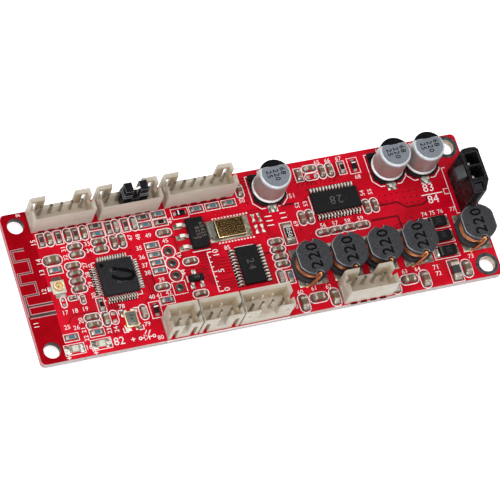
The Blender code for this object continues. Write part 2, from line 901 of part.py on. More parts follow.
def board_mesh():
    """The board with its screw holes, its row of open holes and a hole for each pin."""
    plate = prism(rounded_rectangle(board_length, board_width, board_corner), -board_thickness, 0.0)
    half_x, half_y = board_length / 2, board_width / 2
    low, high = -2 * board_thickness, board_thickness
    holes = []
    for side_x in (-1, 1):
        for side_y in (-1, 1):
            centre = (side_x * (half_x - hole_inset), side_y * (half_y - hole_inset))
            ring = circle(hole_diameter, centre)
            holes.append((ring, ring, low, high))
    pin_hole = pin_width * math.sqrt(2) + 2 * pin_hole_clearance
    power_hole = power_pin * math.sqrt(2) + 2 * pin_hole_clearance
    power_middle = (power_left + power_width / 2, power_front + power_length / 2)
    small = [(spot, pin_hole) for spot in pin_spots()]
    small += [((power_middle[0], power_middle[1] + y), power_hole) for y in power_cells()]
    first_open = front_row_back + open_hole_front
    for index in range(open_hole_count):
        spot = (front_row_left + open_hole_left, first_open + index * open_hole_pitch)
        small.append((spot, open_hole_diameter))
    for (x, y), diameter in small:
        ring = circle(diameter, (x - half_x, y - half_y), SMALL_SEGMENTS)
        holes.append((ring, ring, low, high))
    seat_near = half_x - hole_inset - hole_diameter / 2 - seat_gap
    seat_far = seat_near - seat_width
    seat_y = half_y - hole_inset
    lines_x = [side * x for side in (-1, 1) for x in (seat_near, seat_far)]
    lines_x += [-middle_seat_left, middle_seat_right]
    lines_y = [side * (seat_y + step) for side in (-1, 1) for step in (-seat_length / 2, seat_length / 2)]
    return divided(cut(plate, joined_prisms(holes)), lines_x, lines_y)


def divided(mesh, lines_x, lines_y):
    """The mesh with its faces divided along lines, so that each mount's seat is bounded on the flat face."""
    shape = bmesh.new()
    shape.from_mesh(mesh)
    planes = [((x, 0.0, 0.0), (1.0, 0.0, 0.0)) for x in lines_x]
    planes += [((0.0, y, 0.0), (0.0, 1.0, 0.0)) for y in lines_y]
    for point, normal in planes:
        everything = shape.verts[:] + shape.edges[:] + shape.faces[:]
        bmesh.ops.bisect_plane(shape, geom=everything, plane_co=point, plane_no=normal)
    shape.to_mesh(mesh)
    shape.free()
    return mesh


def coil_places():
    """Middles of the five coils."""
    places = []
    for index in range(coil_row_count):
        x = coil_row_left + coil_width / 2 + index * (coil_width + coil_gap)
        places.append((x, coil_middle_y))
    places.append((last_coil_left + coil_width / 2, last_coil_y))
    return places


def chip_places():
    """Middles and turns of the larger chip capacitors; a turn of 90 lies along the board."""
    upright_y = chip_front + chip_length / 2
    cross_y = chip_cross_front + chip_width / 2
    places = []
    x = front_row_right + chip_left_gap + chip_width / 2
    places.append((x, upright_y, 0.0))
    x += chip_width / 2 + chip_gap + chip_length / 2
    places.append((x, cross_y, 90.0))
    x += chip_length / 2 + chip_gap + chip_width / 2
    places.append((x, upright_y, 0.0))
    x = speaker_left + header_length(speaker_pin_count) + chip_speaker_gap + chip_width / 2
    places.append((x, upright_y, 0.0))
    x += chip_width / 2 + chip_gap + chip_length / 2
    places.append((x, cross_y, 90.0))
    x += chip_length / 2 + chip_gap + chip_width / 2
    places.append((x, upright_y, 0.0))
    x = board_length - suppressor_right + corner_chip_gap + chip_width / 2
    places.append((x, suppressor_front + suppressor_length / 2, 0.0))
    x = antenna_zone + antenna_chip_left + chip_length / 2
    places.append((x, back_row_front - antenna_chip_back_gap - chip_width / 2, 90.0))
    return places


def make_board():
    """The bare board."""
    placed("board", board_mesh(), solder_mask, board_length / 2, board_width / 2)


def make_headers():
    """Seven shrouded headers with their pins."""
    for name, pins, (x, y), turn in header_places():
        placed(name, header_mesh(pins), cream_plastic, x, y, 0.0, turn)


def make_jumper():
    """The jumper pushed on two pins, and the metal strip between its towers."""
    left = back_starts[jumper_header_index]
    first = left + header_end + jumper_first_pin_index * pin_pitch
    x = first + (jumper_pin_count - 1) * pin_pitch / 2
    y = back_row_front + header_pin_line - jumper_pin_step()
    placed("jumper_cap", jumper_mesh(), black_plastic, x, y, jumper_low)
    contact_low = jumper_low + jumper_shoulder + solder_gap
    placed("jumper_contact", contact_mesh(), tinned_metal, x, y, contact_low)


def make_coils():
    """Five ferrite drums with their windings."""
    core, winding = coil_core_mesh(), coil_winding_mesh()
    for index, (x, y) in enumerate(coil_places(), start=1):
        placed(f"coil_core_{index}", core, ferrite, x, y)
        placed(f"coil_winding_{index}", winding, copper_wire, x, y, smooth=True)


def make_capacitors():
    """Three round capacitors, each a can on a square base."""
    base, can = capacitor_base_mesh(), capacitor_can_mesh()
    spots = [first_can_x, last_can_x - base_side - base_gap, last_can_x]
    can_low = base_height + solder_gap
    for index, x in enumerate(spots, start=1):
        placed(f"capacitor_base_{index}", base, black_plastic, x, can_middle_y)
        placed(f"capacitor_can_{index}", can, can_metal, x, can_middle_y, can_low, smooth=True)


def make_chips():
    """The moulded chips with their leads."""
    placed("quad_chip", quad_mesh(), moulding, quad_x, quad_y)
    front_x = front_row_right - slim_right_gap
    front_y = front_row_back + slim_front_gap + slim_front_length / 2
    placed("slim_chip_1", slim_mesh(slim_front_lead_count, slim_front_length), moulding, front_x, front_y)
    back_y = board_width - slim_back_gap - slim_span / 2
    back_chip = slim_mesh(slim_back_lead_count, slim_back_length)
    placed("slim_chip_2", back_chip, moulding, speaker_middle, back_y, 0.0, 90.0)
    placed("regulator", regulator_mesh(), moulding, regulator_x, regulator_y)
    block = prism(rectangle(block_length, block_width), solder_gap, block_height)
    placed("heat_block", block, brass, block_left + block_length / 2, regulator_y)
    transistor_x = front_row_left + transistor_left + transistor_length / 2
    transistor_y = front_row_back + transistor_front_gap + transistor_width / 2
    placed("transistor", transistor_mesh(), moulding, transistor_x, transistor_y)


def make_diodes():
    """Three flat diodes in a column."""
    mesh = diode_mesh()
    first = suppressor_front + suppressor_length + diode_front_gap + diode_width / 2
    for index in range(diode_count):
        y = first + index * (diode_width + diode_gap)
        placed(f"diode_{index + 1}", mesh, moulding, diode_middle_x, y)


def make_power_connector():
    """The power connector at the board's right end."""
    x, y = power_left + power_width / 2, power_front + power_length / 2
    placed("power_connector", power_mesh(), black_plastic, x, y)


def make_small_parts():
    """Crystal, lamps, coaxial socket, shunt, suppressor and the larger chip capacitors."""
    placed("crystal", crystal_mesh(), gold, quad_x + crystal_right_step, crystal_y)
    lamp = lamp_mesh()
    for index in range(lamp_count):
        x = antenna_zone + lamp_left + lamp_length / 2 + index * lamp_pitch
        placed(f"lamp_{index + 1}", lamp, lamp_resin, x, lamp_front + lamp_width / 2)
    coax_x = antenna_zone + coax_left + coax_side / 2
    placed("coax_socket", coax_mesh(), gold, coax_x, quad_y + coax_back_step)
    shunt = chip_mesh(shunt_width, shunt_length, shunt_height)
    shunt_x = front_row_right + shunt_left + shunt_width / 2
    placed("shunt", shunt, resistor_black, shunt_x, coil_row_back + shunt_front_gap + shunt_length / 2)
    suppressor = chip_mesh(suppressor_width, suppressor_length, suppressor_height)
    suppressor_x = board_length - suppressor_right - suppressor_width / 2
    placed("suppressor", suppressor, resistor_black, suppressor_x, suppressor_front + suppressor_length / 2)
    chip = chip_mesh(chip_width, chip_length, chip_height)
    for index, (x, y, turn) in enumerate(chip_places(), start=1):
        placed(f"chip_capacitor_{index}", chip, ceramic_brown, x, y, 0.0, turn)


make_board()
make_headers()
make_jumper()
make_coils()
make_capacitors()
make_chips()
make_diodes()
make_power_connector()
make_small_parts()
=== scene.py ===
# %% [markdown]
# This lesson dresses the circuit board of a small audio amplifier. The frame below holds the board's
# solids at their real size and place. Every cell after it gives one of the real parts its surface and
# its fine shape. The board is only 93 mm long, so most parts are a few millimetres across, and it is
# their edges, solder and printing that make the picture look real.

# %% Load the frame
import math

import bmesh
import bpy
from mathutils import Matrix, Vector


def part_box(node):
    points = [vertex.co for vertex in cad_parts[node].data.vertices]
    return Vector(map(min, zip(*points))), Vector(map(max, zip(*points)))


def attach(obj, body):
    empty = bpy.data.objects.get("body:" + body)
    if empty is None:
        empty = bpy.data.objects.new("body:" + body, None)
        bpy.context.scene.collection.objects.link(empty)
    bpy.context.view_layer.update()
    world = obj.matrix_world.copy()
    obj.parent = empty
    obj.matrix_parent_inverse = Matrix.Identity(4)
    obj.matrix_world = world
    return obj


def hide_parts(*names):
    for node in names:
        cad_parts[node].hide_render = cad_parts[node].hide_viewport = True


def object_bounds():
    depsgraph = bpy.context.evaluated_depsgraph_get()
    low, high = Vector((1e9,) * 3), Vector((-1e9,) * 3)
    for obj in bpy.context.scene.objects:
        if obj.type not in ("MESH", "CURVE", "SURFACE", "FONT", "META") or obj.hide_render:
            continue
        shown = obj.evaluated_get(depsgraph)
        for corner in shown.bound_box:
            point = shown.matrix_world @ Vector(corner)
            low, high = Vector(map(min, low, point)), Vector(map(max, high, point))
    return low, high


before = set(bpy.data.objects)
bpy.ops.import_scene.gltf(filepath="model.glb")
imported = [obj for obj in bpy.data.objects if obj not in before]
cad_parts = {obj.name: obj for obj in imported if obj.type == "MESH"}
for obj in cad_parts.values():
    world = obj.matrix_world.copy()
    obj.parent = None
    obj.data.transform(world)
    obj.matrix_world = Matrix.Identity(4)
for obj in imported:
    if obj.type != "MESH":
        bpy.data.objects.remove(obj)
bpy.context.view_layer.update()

MM = 0.001
CLOSE = 0.001 * MM

# %% [markdown]
# A board's parts are easiest to place as its maker does, in millimetres from one corner. The frame's
# origin is the middle of the underside, so one helper turns board millimetres into frame metres.
# Heights are counted from the top face, where the parts are soldered.

# %% Places on the board
board_low, board_high = (Vector(corner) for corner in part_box("board"))
board_length, board_width, board_thickness = ((board_high - board_low) / MM)[:]


def place(x, y, z=0.0):
    return Vector((board_low.x + x * MM, board_low.y + y * MM, board_high.z + z * MM))


def node_box(node):
    """The low and high corner of a solid in board millimetres."""
    return [(Vector(corner) - place(0, 0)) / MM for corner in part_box(node)]


def on_board(x, y):
    """A place in the frame, in board millimetres."""
    return (x - board_low.x) / MM, (y - board_low.y) / MM


def node_middle(node):
    low, high = (Vector(corner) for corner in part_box(node))
    return on_board(*((low + high) / 2).xy)


print("board", round(board_length, 2), "x", round(board_width, 2), "x", round(board_thickness, 2))

# %% [markdown]
# The helpers follow what the hands do in Blender: select one thing, add a primitive, shape it in edit
# mode, and apply its modifiers. Every operator acts on what is selected, so each helper starts by
# deselecting everything. Applying the place leaves the object at the origin, with its place in its mesh.


# %% Select, add and apply
def clear_selection():
    if bpy.context.mode != "OBJECT":
        bpy.ops.object.mode_set(mode="OBJECT")
    bpy.ops.object.select_all(action="DESELECT")


def take(piece):
    clear_selection()
    piece.select_set(True)
    bpy.context.view_layer.objects.active = piece
    return piece


def apply_place(piece):
    take(piece)
    bpy.ops.object.transform_apply(location=True, rotation=True, scale=True)
    return piece


def block(name, low, high):
    clear_selection()
    low, high = place(*low), place(*high)
    bpy.ops.mesh.primitive_cube_add(size=1, location=(low + high) / 2)
    piece = bpy.context.active_object
    piece.name = name
    piece.scale = high - low
    return apply_place(piece)


def round_bar(name, x, y, low, high, diameter, sides):
    clear_selection()
    bpy.ops.mesh.primitive_cone_add(
        vertices=sides,
        radius1=diameter * MM / 2,
        radius2=diameter * MM / 2,
        depth=(high - low) * MM,
        location=place(x, y, (low + high) / 2),
    )
    piece = bpy.context.active_object
    piece.name = name
    return apply_place(piece)


# %% Pick faces, edges or points in edit mode
def middle_of(item):
    points = item.verts if hasattr(item, "verts") else [item]
    return sum((point.co for point in points), Vector()) / len(points)


def pick(piece, kind, test):
    take(piece)
    bpy.ops.object.mode_set(mode="EDIT")
    bpy.ops.mesh.select_mode(type=kind)
    bpy.ops.mesh.select_all(action="DESELECT")
    shape = bmesh.from_edit_mesh(piece.data)
    for item in {"VERT": shape.verts, "EDGE": shape.edges, "FACE": shape.faces}[kind]:
        if test(item):
            item.select_set(True)
    shape.select_flush_mode()
    bmesh.update_edit_mesh(piece.data)


def edit_whole(piece):
    take(piece)
    bpy.ops.object.mode_set(mode="EDIT")
    bpy.ops.mesh.select_all(action="SELECT")


def leave_edit():
    bpy.ops.object.mode_set(mode="OBJECT")


def leave_outward():
    """Turns every face outwards, then leaves edit mode."""
    bpy.ops.mesh.select_all(action="SELECT")
    bpy.ops.mesh.normals_make_consistent(inside=False)
    leave_edit()


def along(edge, axis):
    """Whether an edge runs along an axis."""
    run = edge.verts[1].co - edge.verts[0].co
    return abs(run[axis]) > 0.99 * run.length


# %% Cut, ease, join and copy
def apply_modifier(piece, kind, **values):
    take(piece)
    step = piece.modifiers.new("step", kind)
    for key, value in values.items():
        setattr(step, key, value)
    bpy.ops.object.modifier_apply(modifier=step.name)
    return piece


def join(pieces, name):
    take(pieces[0])
    for piece in pieces:
        piece.select_set(True)
    if len(pieces) > 1:
        bpy.ops.object.join()
    pieces[0].name = name
    return pieces[0]


def carve(piece, tools):
    tool = join(tools, "tool")
    apply_modifier(piece, "BOOLEAN", object=tool, operation="DIFFERENCE")
    bpy.data.objects.remove(tool, do_unlink=True)
    return piece


def smooth(piece, angle=35):
    take(piece)
    bpy.ops.object.shade_smooth_by_angle(angle=math.radians(angle))
    return piece


def round_edges(piece, width, segments=2, limit=math.radians(30)):
    """Bevels the edges whose faces turn by more than the limit, in radians."""
    values = {"width": width * MM, "segments": segments, "limit_method": "ANGLE", "angle_limit": limit}
    return apply_modifier(piece, "BEVEL", **values)


def pull_edge(piece, axis, at, top, drop, shift=0.0):
    """Lowers the upper edge at a place along x (0) or y (1), which leaves a slope as solder has."""
    edge = place(at, at, top)

    def on_edge(point):
        return abs(point.co[axis] - edge[axis]) < CLOSE and abs(point.co.z - edge.z) < CLOSE

    pick(piece, "VERT", on_edge)
    bpy.ops.transform.translate(value=(0, shift * MM, -drop * MM))
    leave_edit()
    return piece


def inset_top(piece, inset, rise):
    """Insets the top face and moves what is left of it up, or down if the rise is negative."""
    pick(piece, "FACE", lambda face: face.normal.z > 0.9)
    bpy.ops.mesh.inset(thickness=inset * MM)
    bpy.ops.transform.translate(value=(0, 0, rise * MM))
    leave_edit()
    return piece


def copy_to(template, name, x, y, turn=0.0):
    """A copy of a piece that was modelled round the board's corner, turned and moved to its place."""
    piece = template.copy()
    piece.data = template.data.copy()
    bpy.context.scene.collection.objects.link(piece)
    piece.name = name
    move = Matrix.Translation(place(x, y)) @ Matrix.Rotation(math.radians(turn), 4, "Z")
    piece.data.transform(move @ Matrix.Translation(-place(0, 0)))
    return piece


def discard(*templates):
    for template in templates:
        bpy.data.objects.remove(template, do_unlink=True)


def paint(piece, *surfaces):
    """Gives a piece its materials; its faces keep the numbers that they have."""
    slots = [polygon.material_index for polygon in piece.data.polygons]
    piece.data.materials.clear()
    for surface in surfaces:
        piece.data.materials.append(surface)
    for polygon, slot in zip(piece.data.polygons, slots):
        polygon.material_index = min(slot, len(surfaces) - 1)
    return piece


def mark_faces(piece, number, test):
    for polygon in piece.data.polygons:
        if test(polygon.center, polygon.normal):
            polygon.material_index = number
    return piece


def mark_edges(piece, number, width):
    """Marks the narrow faces that a bevel left along the edges."""
    points = piece.data.vertices
    for polygon in piece.data.polygons:
        corners = [points[index].co for index in polygon.vertices]
        longest = max((a - b).length for a, b in zip(corners, corners[1:] + corners[:1]))
        if polygon.area < longest * width * MM:
            polygon.material_index = number
    return piece


def belong(piece, slot, *nodes, body="board"):
    """Rides a finished piece on its body and hides the solids that it stands for. The slot is not used."""
    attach(piece, body)
    if nodes:
        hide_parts(*nodes)
    return piece


# %% [markdown]
# No real surface has one flat colour. Moulded resin has a fine grain, solder has dull patches, and a
# red mask lies a little thicker here and there. All of these are noise at the right scale, so one
# shader group makes that noise, and every material places the group with its own numbers. A second
# group makes separate specks of dust.


# %% Shader groups
def new_group(name, inputs, outputs):
    group = bpy.data.node_groups.new(name, "ShaderNodeTree")
    for label, value in inputs.items():
        socket = group.interface.new_socket(label, in_out="INPUT", socket_type="NodeSocketFloat")
        socket.default_value = value
    for label in outputs:
        group.interface.new_socket(label, in_out="OUTPUT", socket_type="NodeSocketFloat")
    return group, group.nodes.new("NodeGroupInput"), group.nodes.new("NodeGroupOutput")


def math_node(nodes, operation):
    made = nodes.new("ShaderNodeMath")
    made.operation = operation
    return made


def make_grain_group():
    inputs = {"Scale": 1000.0, "Contrast": 1.0, "Edge": 0.15, "Fine": 6.0, "Middle": 0.5}
    group, source, result = new_group("surface_grain", inputs, ["Mask", "Height"])
    where = group.nodes.new("ShaderNodeTexCoord")
    broad = group.nodes.new("ShaderNodeTexNoise")
    broad.inputs["Detail"].default_value = 3.0
    fine_scale = math_node(group.nodes, "MULTIPLY")
    fine = group.nodes.new("ShaderNodeTexNoise")
    fine.inputs["Detail"].default_value = 2.0
    spread = group.nodes.new("ShaderNodeMapRange")
    lower = math_node(group.nodes, "SUBTRACT")
    upper = math_node(group.nodes, "ADD")
    level = math_node(group.nodes, "MULTIPLY")
    link = group.links.new
    for bound, end in ((lower, "From Min"), (upper, "From Max")):
        link(source.outputs["Middle"], bound.inputs[0])
        link(source.outputs["Edge"], bound.inputs[1])
        link(bound.outputs[0], spread.inputs[end])
    for noise in (broad, fine):
        link(where.outputs["Object"], noise.inputs["Vector"])
    link(source.outputs["Scale"], broad.inputs["Scale"])
    link(source.outputs["Scale"], fine_scale.inputs[0])
    link(source.outputs["Fine"], fine_scale.inputs[1])
    link(fine_scale.outputs[0], fine.inputs["Scale"])
    link(broad.outputs["Fac"], spread.inputs["Value"])
    link(spread.outputs["Result"], level.inputs[0])
    link(source.outputs["Contrast"], level.inputs[1])
    link(level.outputs[0], result.inputs["Mask"])
    link(fine.outputs["Fac"], result.inputs["Height"])
    return group


def make_speck_group():
    group, source, result = new_group("specks", {"Scale": 2000.0, "Amount": 0.1, "Strength": 0.3}, ["Mask"])
    where = group.nodes.new("ShaderNodeTexCoord")
    cells = group.nodes.new("ShaderNodeTexVoronoi")
    share = group.nodes.new("ShaderNodeSeparateColor")
    near = math_node(group.nodes, "LESS_THAN")
    near.inputs[1].default_value = 0.22
    few = math_node(group.nodes, "LESS_THAN")
    both = math_node(group.nodes, "MULTIPLY")
    level = math_node(group.nodes, "MULTIPLY")
    link = group.links.new
    link(where.outputs["Object"], cells.inputs["Vector"])
    link(source.outputs["Scale"], cells.inputs["Scale"])
    link(cells.outputs["Color"], share.inputs["Color"])
    link(cells.outputs["Distance"], near.inputs[0])
    link(share.outputs["Red"], few.inputs[0])
    link(source.outputs["Amount"], few.inputs[1])
    link(near.outputs[0], both.inputs[0])
    link(few.outputs[0], both.inputs[1])
    link(both.outputs[0], level.inputs[0])
    link(source.outputs["Strength"], level.inputs[1])
    link(level.outputs[0], result.inputs["Mask"])
    return group


grain_group = make_grain_group()
speck_group = make_speck_group()
print("shader groups", grain_group.name, speck_group.name)

# %% [markdown]
# One function then builds every finish: two close colours blended by the grain, a roughness that
# moves with it, a small bump, and sparse specks of dust. What is even all over the surface, such as
# a metal's metallic value, is set on the shader itself.


# %% A finish from the groups
def place_group(nodes, group, **values):
    made = nodes.new("ShaderNodeGroup")
    made.node_tree = group
    for label, value in values.items():
        made.inputs[label].default_value = value
    return made


def finish(name, colour, second, rough, scale=900.0, contrast=1.0, bump=0.15, depth=0.004, metal=0.0,
           gloss=0.5, edge=0.15, middle=0.5, coat=0.0, specks=0.0, speck_colour=(0.8, 0.78, 0.74),
           speck_strength=0.25):
    made = bpy.data.materials.new(name)
    made.use_nodes = True
    nodes, link = made.node_tree.nodes, made.node_tree.links.new
    shader = nodes["Principled BSDF"]
    grain = place_group(nodes, grain_group, Scale=scale, Contrast=contrast, Edge=edge, Middle=middle)
    blend = nodes.new("ShaderNodeMix")
    blend.data_type = "RGBA"
    blend.inputs["A"].default_value = (*colour, 1.0)
    blend.inputs["B"].default_value = (*second, 1.0)
    link(grain.outputs["Mask"], blend.inputs["Factor"])
    result = blend.outputs["Result"]
    if specks:
        dust = place_group(nodes, speck_group, Scale=2600.0, Amount=specks, Strength=speck_strength)
        over = nodes.new("ShaderNodeMix")
        over.data_type = "RGBA"
        over.inputs["B"].default_value = (*speck_colour, 1.0)
        link(dust.outputs["Mask"], over.inputs["Factor"])
        link(result, over.inputs["A"])
        result = over.outputs["Result"]
    link(result, shader.inputs["Base Color"])
    shine = nodes.new("ShaderNodeMapRange")
    shine.inputs["To Min"].default_value = rough[0]
    shine.inputs["To Max"].default_value = rough[1]
    link(grain.outputs["Mask"], shine.inputs["Value"])
    link(shine.outputs["Result"], shader.inputs["Roughness"])
    relief = nodes.new("ShaderNodeBump")
    relief.inputs["Strength"].default_value = bump
    relief.inputs["Distance"].default_value = depth * MM
    link(grain.outputs["Height"], relief.inputs["Height"])
    link(relief.outputs["Normal"], shader.inputs["Normal"])
    shader.inputs["Metallic"].default_value = metal
    shader.inputs["Specular IOR Level"].default_value = gloss
    shader.inputs["Coat Weight"].default_value = coat
    shader.inputs["Coat Roughness"].default_value = 0.15
    made.diffuse_color = (*colour, 1.0)
    return made


# %% [markdown]
# The mask is a red lacquer over copper. Over bare laminate, as round the aerial and in the gaps
# between the copper areas, the same lacquer looks darker. The board's sawn edge shows its pale glass
# fibre, and the print on top is a thin white ink.

# %% Finishes of the bare board
mask_red = finish("mask_red", (0.66, 0.002, 0.018), (0.46, 0.001, 0.01), (0.34, 0.46), 260.0, 0.8, 0.12,
                  0.01, gloss=0.1, specks=0.03, speck_strength=0.12)
mask_dark = finish("mask_dark", (0.37, 0.001, 0.007), (0.29, 0.001, 0.005), (0.5, 0.65), 500.0, 0.8, 0.1,
                   0.01, gloss=0.02)
mask_channel = finish("mask_channel", (0.2, 0.001, 0.007), (0.12, 0.001, 0.005), (0.35, 0.5), 900.0,
                      gloss=0.1)
# Pale pink for the aerial's rim, also painted as a pink reflection of the mask on the board's left sawn
# edge.
pink_rim_and_reflection = finish("pink_rim_and_reflection", (0.62, 0.3, 0.31), (0.55, 0.22, 0.24), (0.6, 0.8), 1800.0, 0.9, 0.4, 0.02)
aerial_brown = finish("aerial_brown", (0.07, 0.05, 0.048), (0.04, 0.03, 0.028), (0.35, 0.5), 1500.0, 1.0,
                      0.3, gloss=0.15)
ink = finish("ink", (0.95, 0.9, 0.9), (0.86, 0.78, 0.78), (0.5, 0.7), 3000.0, 0.6, 0.3, 0.004, gloss=0.2)
# Dull dark metal for the screw rings, also painted as shade in the can's crimped groove.
dull_ring_and_groove_shade = finish("dull_ring_and_groove_shade", (0.01, 0.012, 0.014), (0.055, 0.06, 0.065), (0.25, 0.45), 1100.0, 1.0, 0.6,
                   0.02, edge=0.1, gloss=0.3)
barrel_bright = finish("barrel_bright", (0.62, 0.56, 0.46), (0.36, 0.32, 0.25), (0.3, 0.5), 1200.0,
                       metal=0.5)
# Near black, painted as shade on the walls of the holes.
barrel_shade = finish("barrel_shade", (0.008, 0.006, 0.006), (0.03, 0.022, 0.018), (0.35, 0.5), 1500.0,
                     gloss=0.2)
hole_brown = finish("hole_brown", (0.05, 0.038, 0.032), (0.11, 0.085, 0.07), (0.35, 0.5), 1300.0, gloss=0.2)
# Dark red, painted as shade under the chips' lead rows.
mask_painted_shade = finish("mask_painted_shade", (0.09, 0.001, 0.004), (0.05, 0.001, 0.003), (0.45, 0.6), 900.0, gloss=0.05)
mask_line = finish("mask_line", (0.34, 0.001, 0.009), (0.27, 0.001, 0.007), (0.35, 0.5), 900.0, gloss=0.1)
# Near black for the vias' dimples, also painted as shadow at the headers' foot slots.
dark_hole_and_shadow = finish("dark_hole_and_shadow", (0.03, 0.002, 0.003), (0.06, 0.003, 0.005), (0.5, 0.7), 2000.0, gloss=0.1)


def layered_edge():
    """The sawn laminate: pale, with its layers of glass cloth showing as faint level lines."""
    made = finish("laminate_edge", (0.55, 0.52, 0.51), (0.45, 0.4, 0.39), (0.6, 0.8), 1800.0, 0.9, 0.4, 0.02)
    nodes, link = made.node_tree.nodes, made.node_tree.links.new
    shader = nodes["Principled BSDF"]
    plain = shader.inputs["Base Color"].links[0].from_socket
    where = nodes.new("ShaderNodeTexCoord")
    layers = nodes.new("ShaderNodeTexWave")
    layers.bands_direction = "Z"
    layers.inputs["Scale"].default_value = 900.0
    layers.inputs["Distortion"].default_value = 1.5
    layers.inputs["Detail Scale"].default_value = 4.0
    lines = nodes.new("ShaderNodeMix")
    lines.data_type = "RGBA"
    lines.inputs["B"].default_value = (0.36, 0.27, 0.26, 1.0)
    level = nodes.new("ShaderNodeMapRange")
    level.inputs["From Min"].default_value = 0.6
    level.inputs["To Max"].default_value = 0.35
    link(where.outputs["Object"], layers.inputs["Vector"])
    link(layers.outputs["Fac"], level.inputs["Value"])
    link(level.outputs["Result"], lines.inputs["Factor"])
    link(plain, lines.inputs["A"])
    link(lines.outputs["Result"], shader.inputs["Base Color"])
    return made


laminate_edge = layered_edge()
print("finishes of the bare board:", mask_red.name, mask_dark.name, laminate_edge.name, ink.name)

# %% [markdown]
# Plastics come next. The headers are cream nylon, and the front row is a little darker than the back
# row. Chip bodies are a matt black resin full of fine filler, the coil drums are pressed ferrite with
# a coarser grain, and the power connector is a smoother black.

# %% Finishes of plastics and ceramics
cream_back = finish("cream_back", (0.65, 0.59, 0.51), (0.57, 0.51, 0.43), (0.38, 0.52), 420.0, 0.7, 0.12,
                    0.006, gloss=0.3, specks=0.03, speck_colour=(0.2, 0.15, 0.1))
cream_front = finish("cream_front", (0.57, 0.52, 0.44), (0.51, 0.46, 0.38), (0.38, 0.52), 420.0, 0.7, 0.12,
                     0.006, gloss=0.3, specks=0.03, speck_colour=(0.2, 0.15, 0.1))
# The light rim cream is a painted highlight on the header rims and ribs, and the two darker inside creams
# are painted shade in the header pockets.
cream_rim_highlight = finish("cream_rim_highlight", (0.86, 0.8, 0.71), (0.78, 0.72, 0.63), (0.35, 0.5), 420.0, 0.7, 0.1, 0.006,
                   gloss=0.4)
cream_inner_shade = finish("cream_inner_shade", (0.53, 0.455, 0.37), (0.45, 0.38, 0.3), (0.4, 0.55), 420.0, 0.7, 0.12,
                     gloss=0.25)
cream_floor_shade = finish("cream_floor_shade", (0.52, 0.42, 0.3), (0.44, 0.35, 0.24), (0.4, 0.55), 420.0, 0.7, 0.12,
                     gloss=0.2)
glossy_black = finish("glossy_black", (0.005, 0.004, 0.005), (0.01, 0.009, 0.01), (0.24, 0.36), 700.0, 1.0,
                      0.06, gloss=0.1, specks=0.04, speck_strength=0.1)
# A lighter black, painted as a highlight on the narrow faces of bevels.
black_edge_highlight = finish("black_edge_highlight", (0.07, 0.07, 0.08), (0.13, 0.13, 0.15), (0.2, 0.35), 700.0, gloss=0.5)
latch_grey = finish("latch_grey", (0.036, 0.035, 0.042), (0.028, 0.027, 0.031), (0.35, 0.5), 700.0,
                    gloss=0.3)
chip_black = finish("chip_black", (0.008, 0.008, 0.009), (0.014, 0.014, 0.015), (0.5, 0.65), 2600.0, 1.0,
                    0.5, 0.012, gloss=0.07, specks=0.06, speck_strength=0.06)
regulator_mark = finish("regulator_mark", (0.2, 0.16, 0.13), (0.13, 0.1, 0.085), (0.55, 0.7), 4000.0,
                        gloss=0.1)
chip_grey = finish("chip_grey", (0.013, 0.013, 0.0145), (0.022, 0.022, 0.0245), (0.5, 0.65), 2600.0, 1.0,
                   0.4, 0.012, gloss=0.1, specks=0.04, speck_strength=0.06)
chip_mark = finish("chip_mark", (0.11, 0.105, 0.1), (0.07, 0.067, 0.066), (0.55, 0.7), 4000.0, 1.0, 0.3,
                   gloss=0.1)
ferrite_grey = finish("ferrite_grey", (0.011, 0.011, 0.014), (0.055, 0.055, 0.062), (0.45, 0.65), 4200.0,
                      1.0, 0.8, 0.02, gloss=0.22, edge=0.2, specks=0.12, speck_strength=0.12)
# Two lighter greys painted as highlights on the coil flange's beveled edges.
ferrite_edge_highlight = finish("ferrite_edge_highlight", (0.24, 0.25, 0.29), (0.38, 0.39, 0.43), (0.3, 0.45), 1500.0, 1.0, 0.4,
                      gloss=0.3)
ferrite_soft_highlight = finish("ferrite_soft_highlight", (0.06, 0.062, 0.07), (0.15, 0.155, 0.17), (0.3, 0.45), 1200.0,
                       gloss=0.4)
# Near black for the coils' digits and the chips' marks, also painted as shade on the inside walls of the
# coil notches.
coil_mark_and_shade = finish("coil_mark_and_shade", (0.002, 0.002, 0.002), (0.004, 0.004, 0.005), (0.35, 0.5), 2000.0,
                   gloss=0.03)
white_ceramic = finish("white_ceramic", (0.72, 0.68, 0.6), (0.6, 0.56, 0.49), (0.4, 0.6), 2500.0, specks=0.1,
                       gloss=0.3)
brown_ceramic = finish("brown_ceramic", (0.2, 0.14, 0.095), (0.135, 0.09, 0.06), (0.35, 0.5), 2600.0, 1.0,
                       0.3, gloss=0.15)
pink_ceramic = finish("pink_ceramic", (0.22, 0.135, 0.105), (0.17, 0.1, 0.078), (0.35, 0.5), 2600.0, 1.0,
                      0.3, gloss=0.3)
khaki_ceramic = finish("khaki_ceramic", (0.26, 0.2, 0.12), (0.2, 0.155, 0.09), (0.35, 0.5), 2600.0, 1.0, 0.3,
                       gloss=0.3)
pale_ceramic = finish("pale_ceramic", (0.36, 0.34, 0.3), (0.3, 0.27, 0.24), (0.35, 0.5), 2600.0, 1.0, 0.3,
                      gloss=0.3)
film_teal = finish("film_teal", (0.07, 0.18, 0.24), (0.05, 0.13, 0.17), (0.25, 0.4), 2400.0, gloss=0.3)
film_black = finish("film_black", (0.004, 0.004, 0.005), (0.009, 0.009, 0.01), (0.25, 0.4), 2400.0,
                    gloss=0.1)
film_grey = finish("film_grey", (0.034, 0.04, 0.041), (0.022, 0.027, 0.028), (0.3, 0.45), 2400.0, gloss=0.3)
milky_resin = finish("milky_resin", (0.72, 0.74, 0.68), (0.58, 0.62, 0.52), (0.2, 0.35), 1500.0, gloss=0.4)
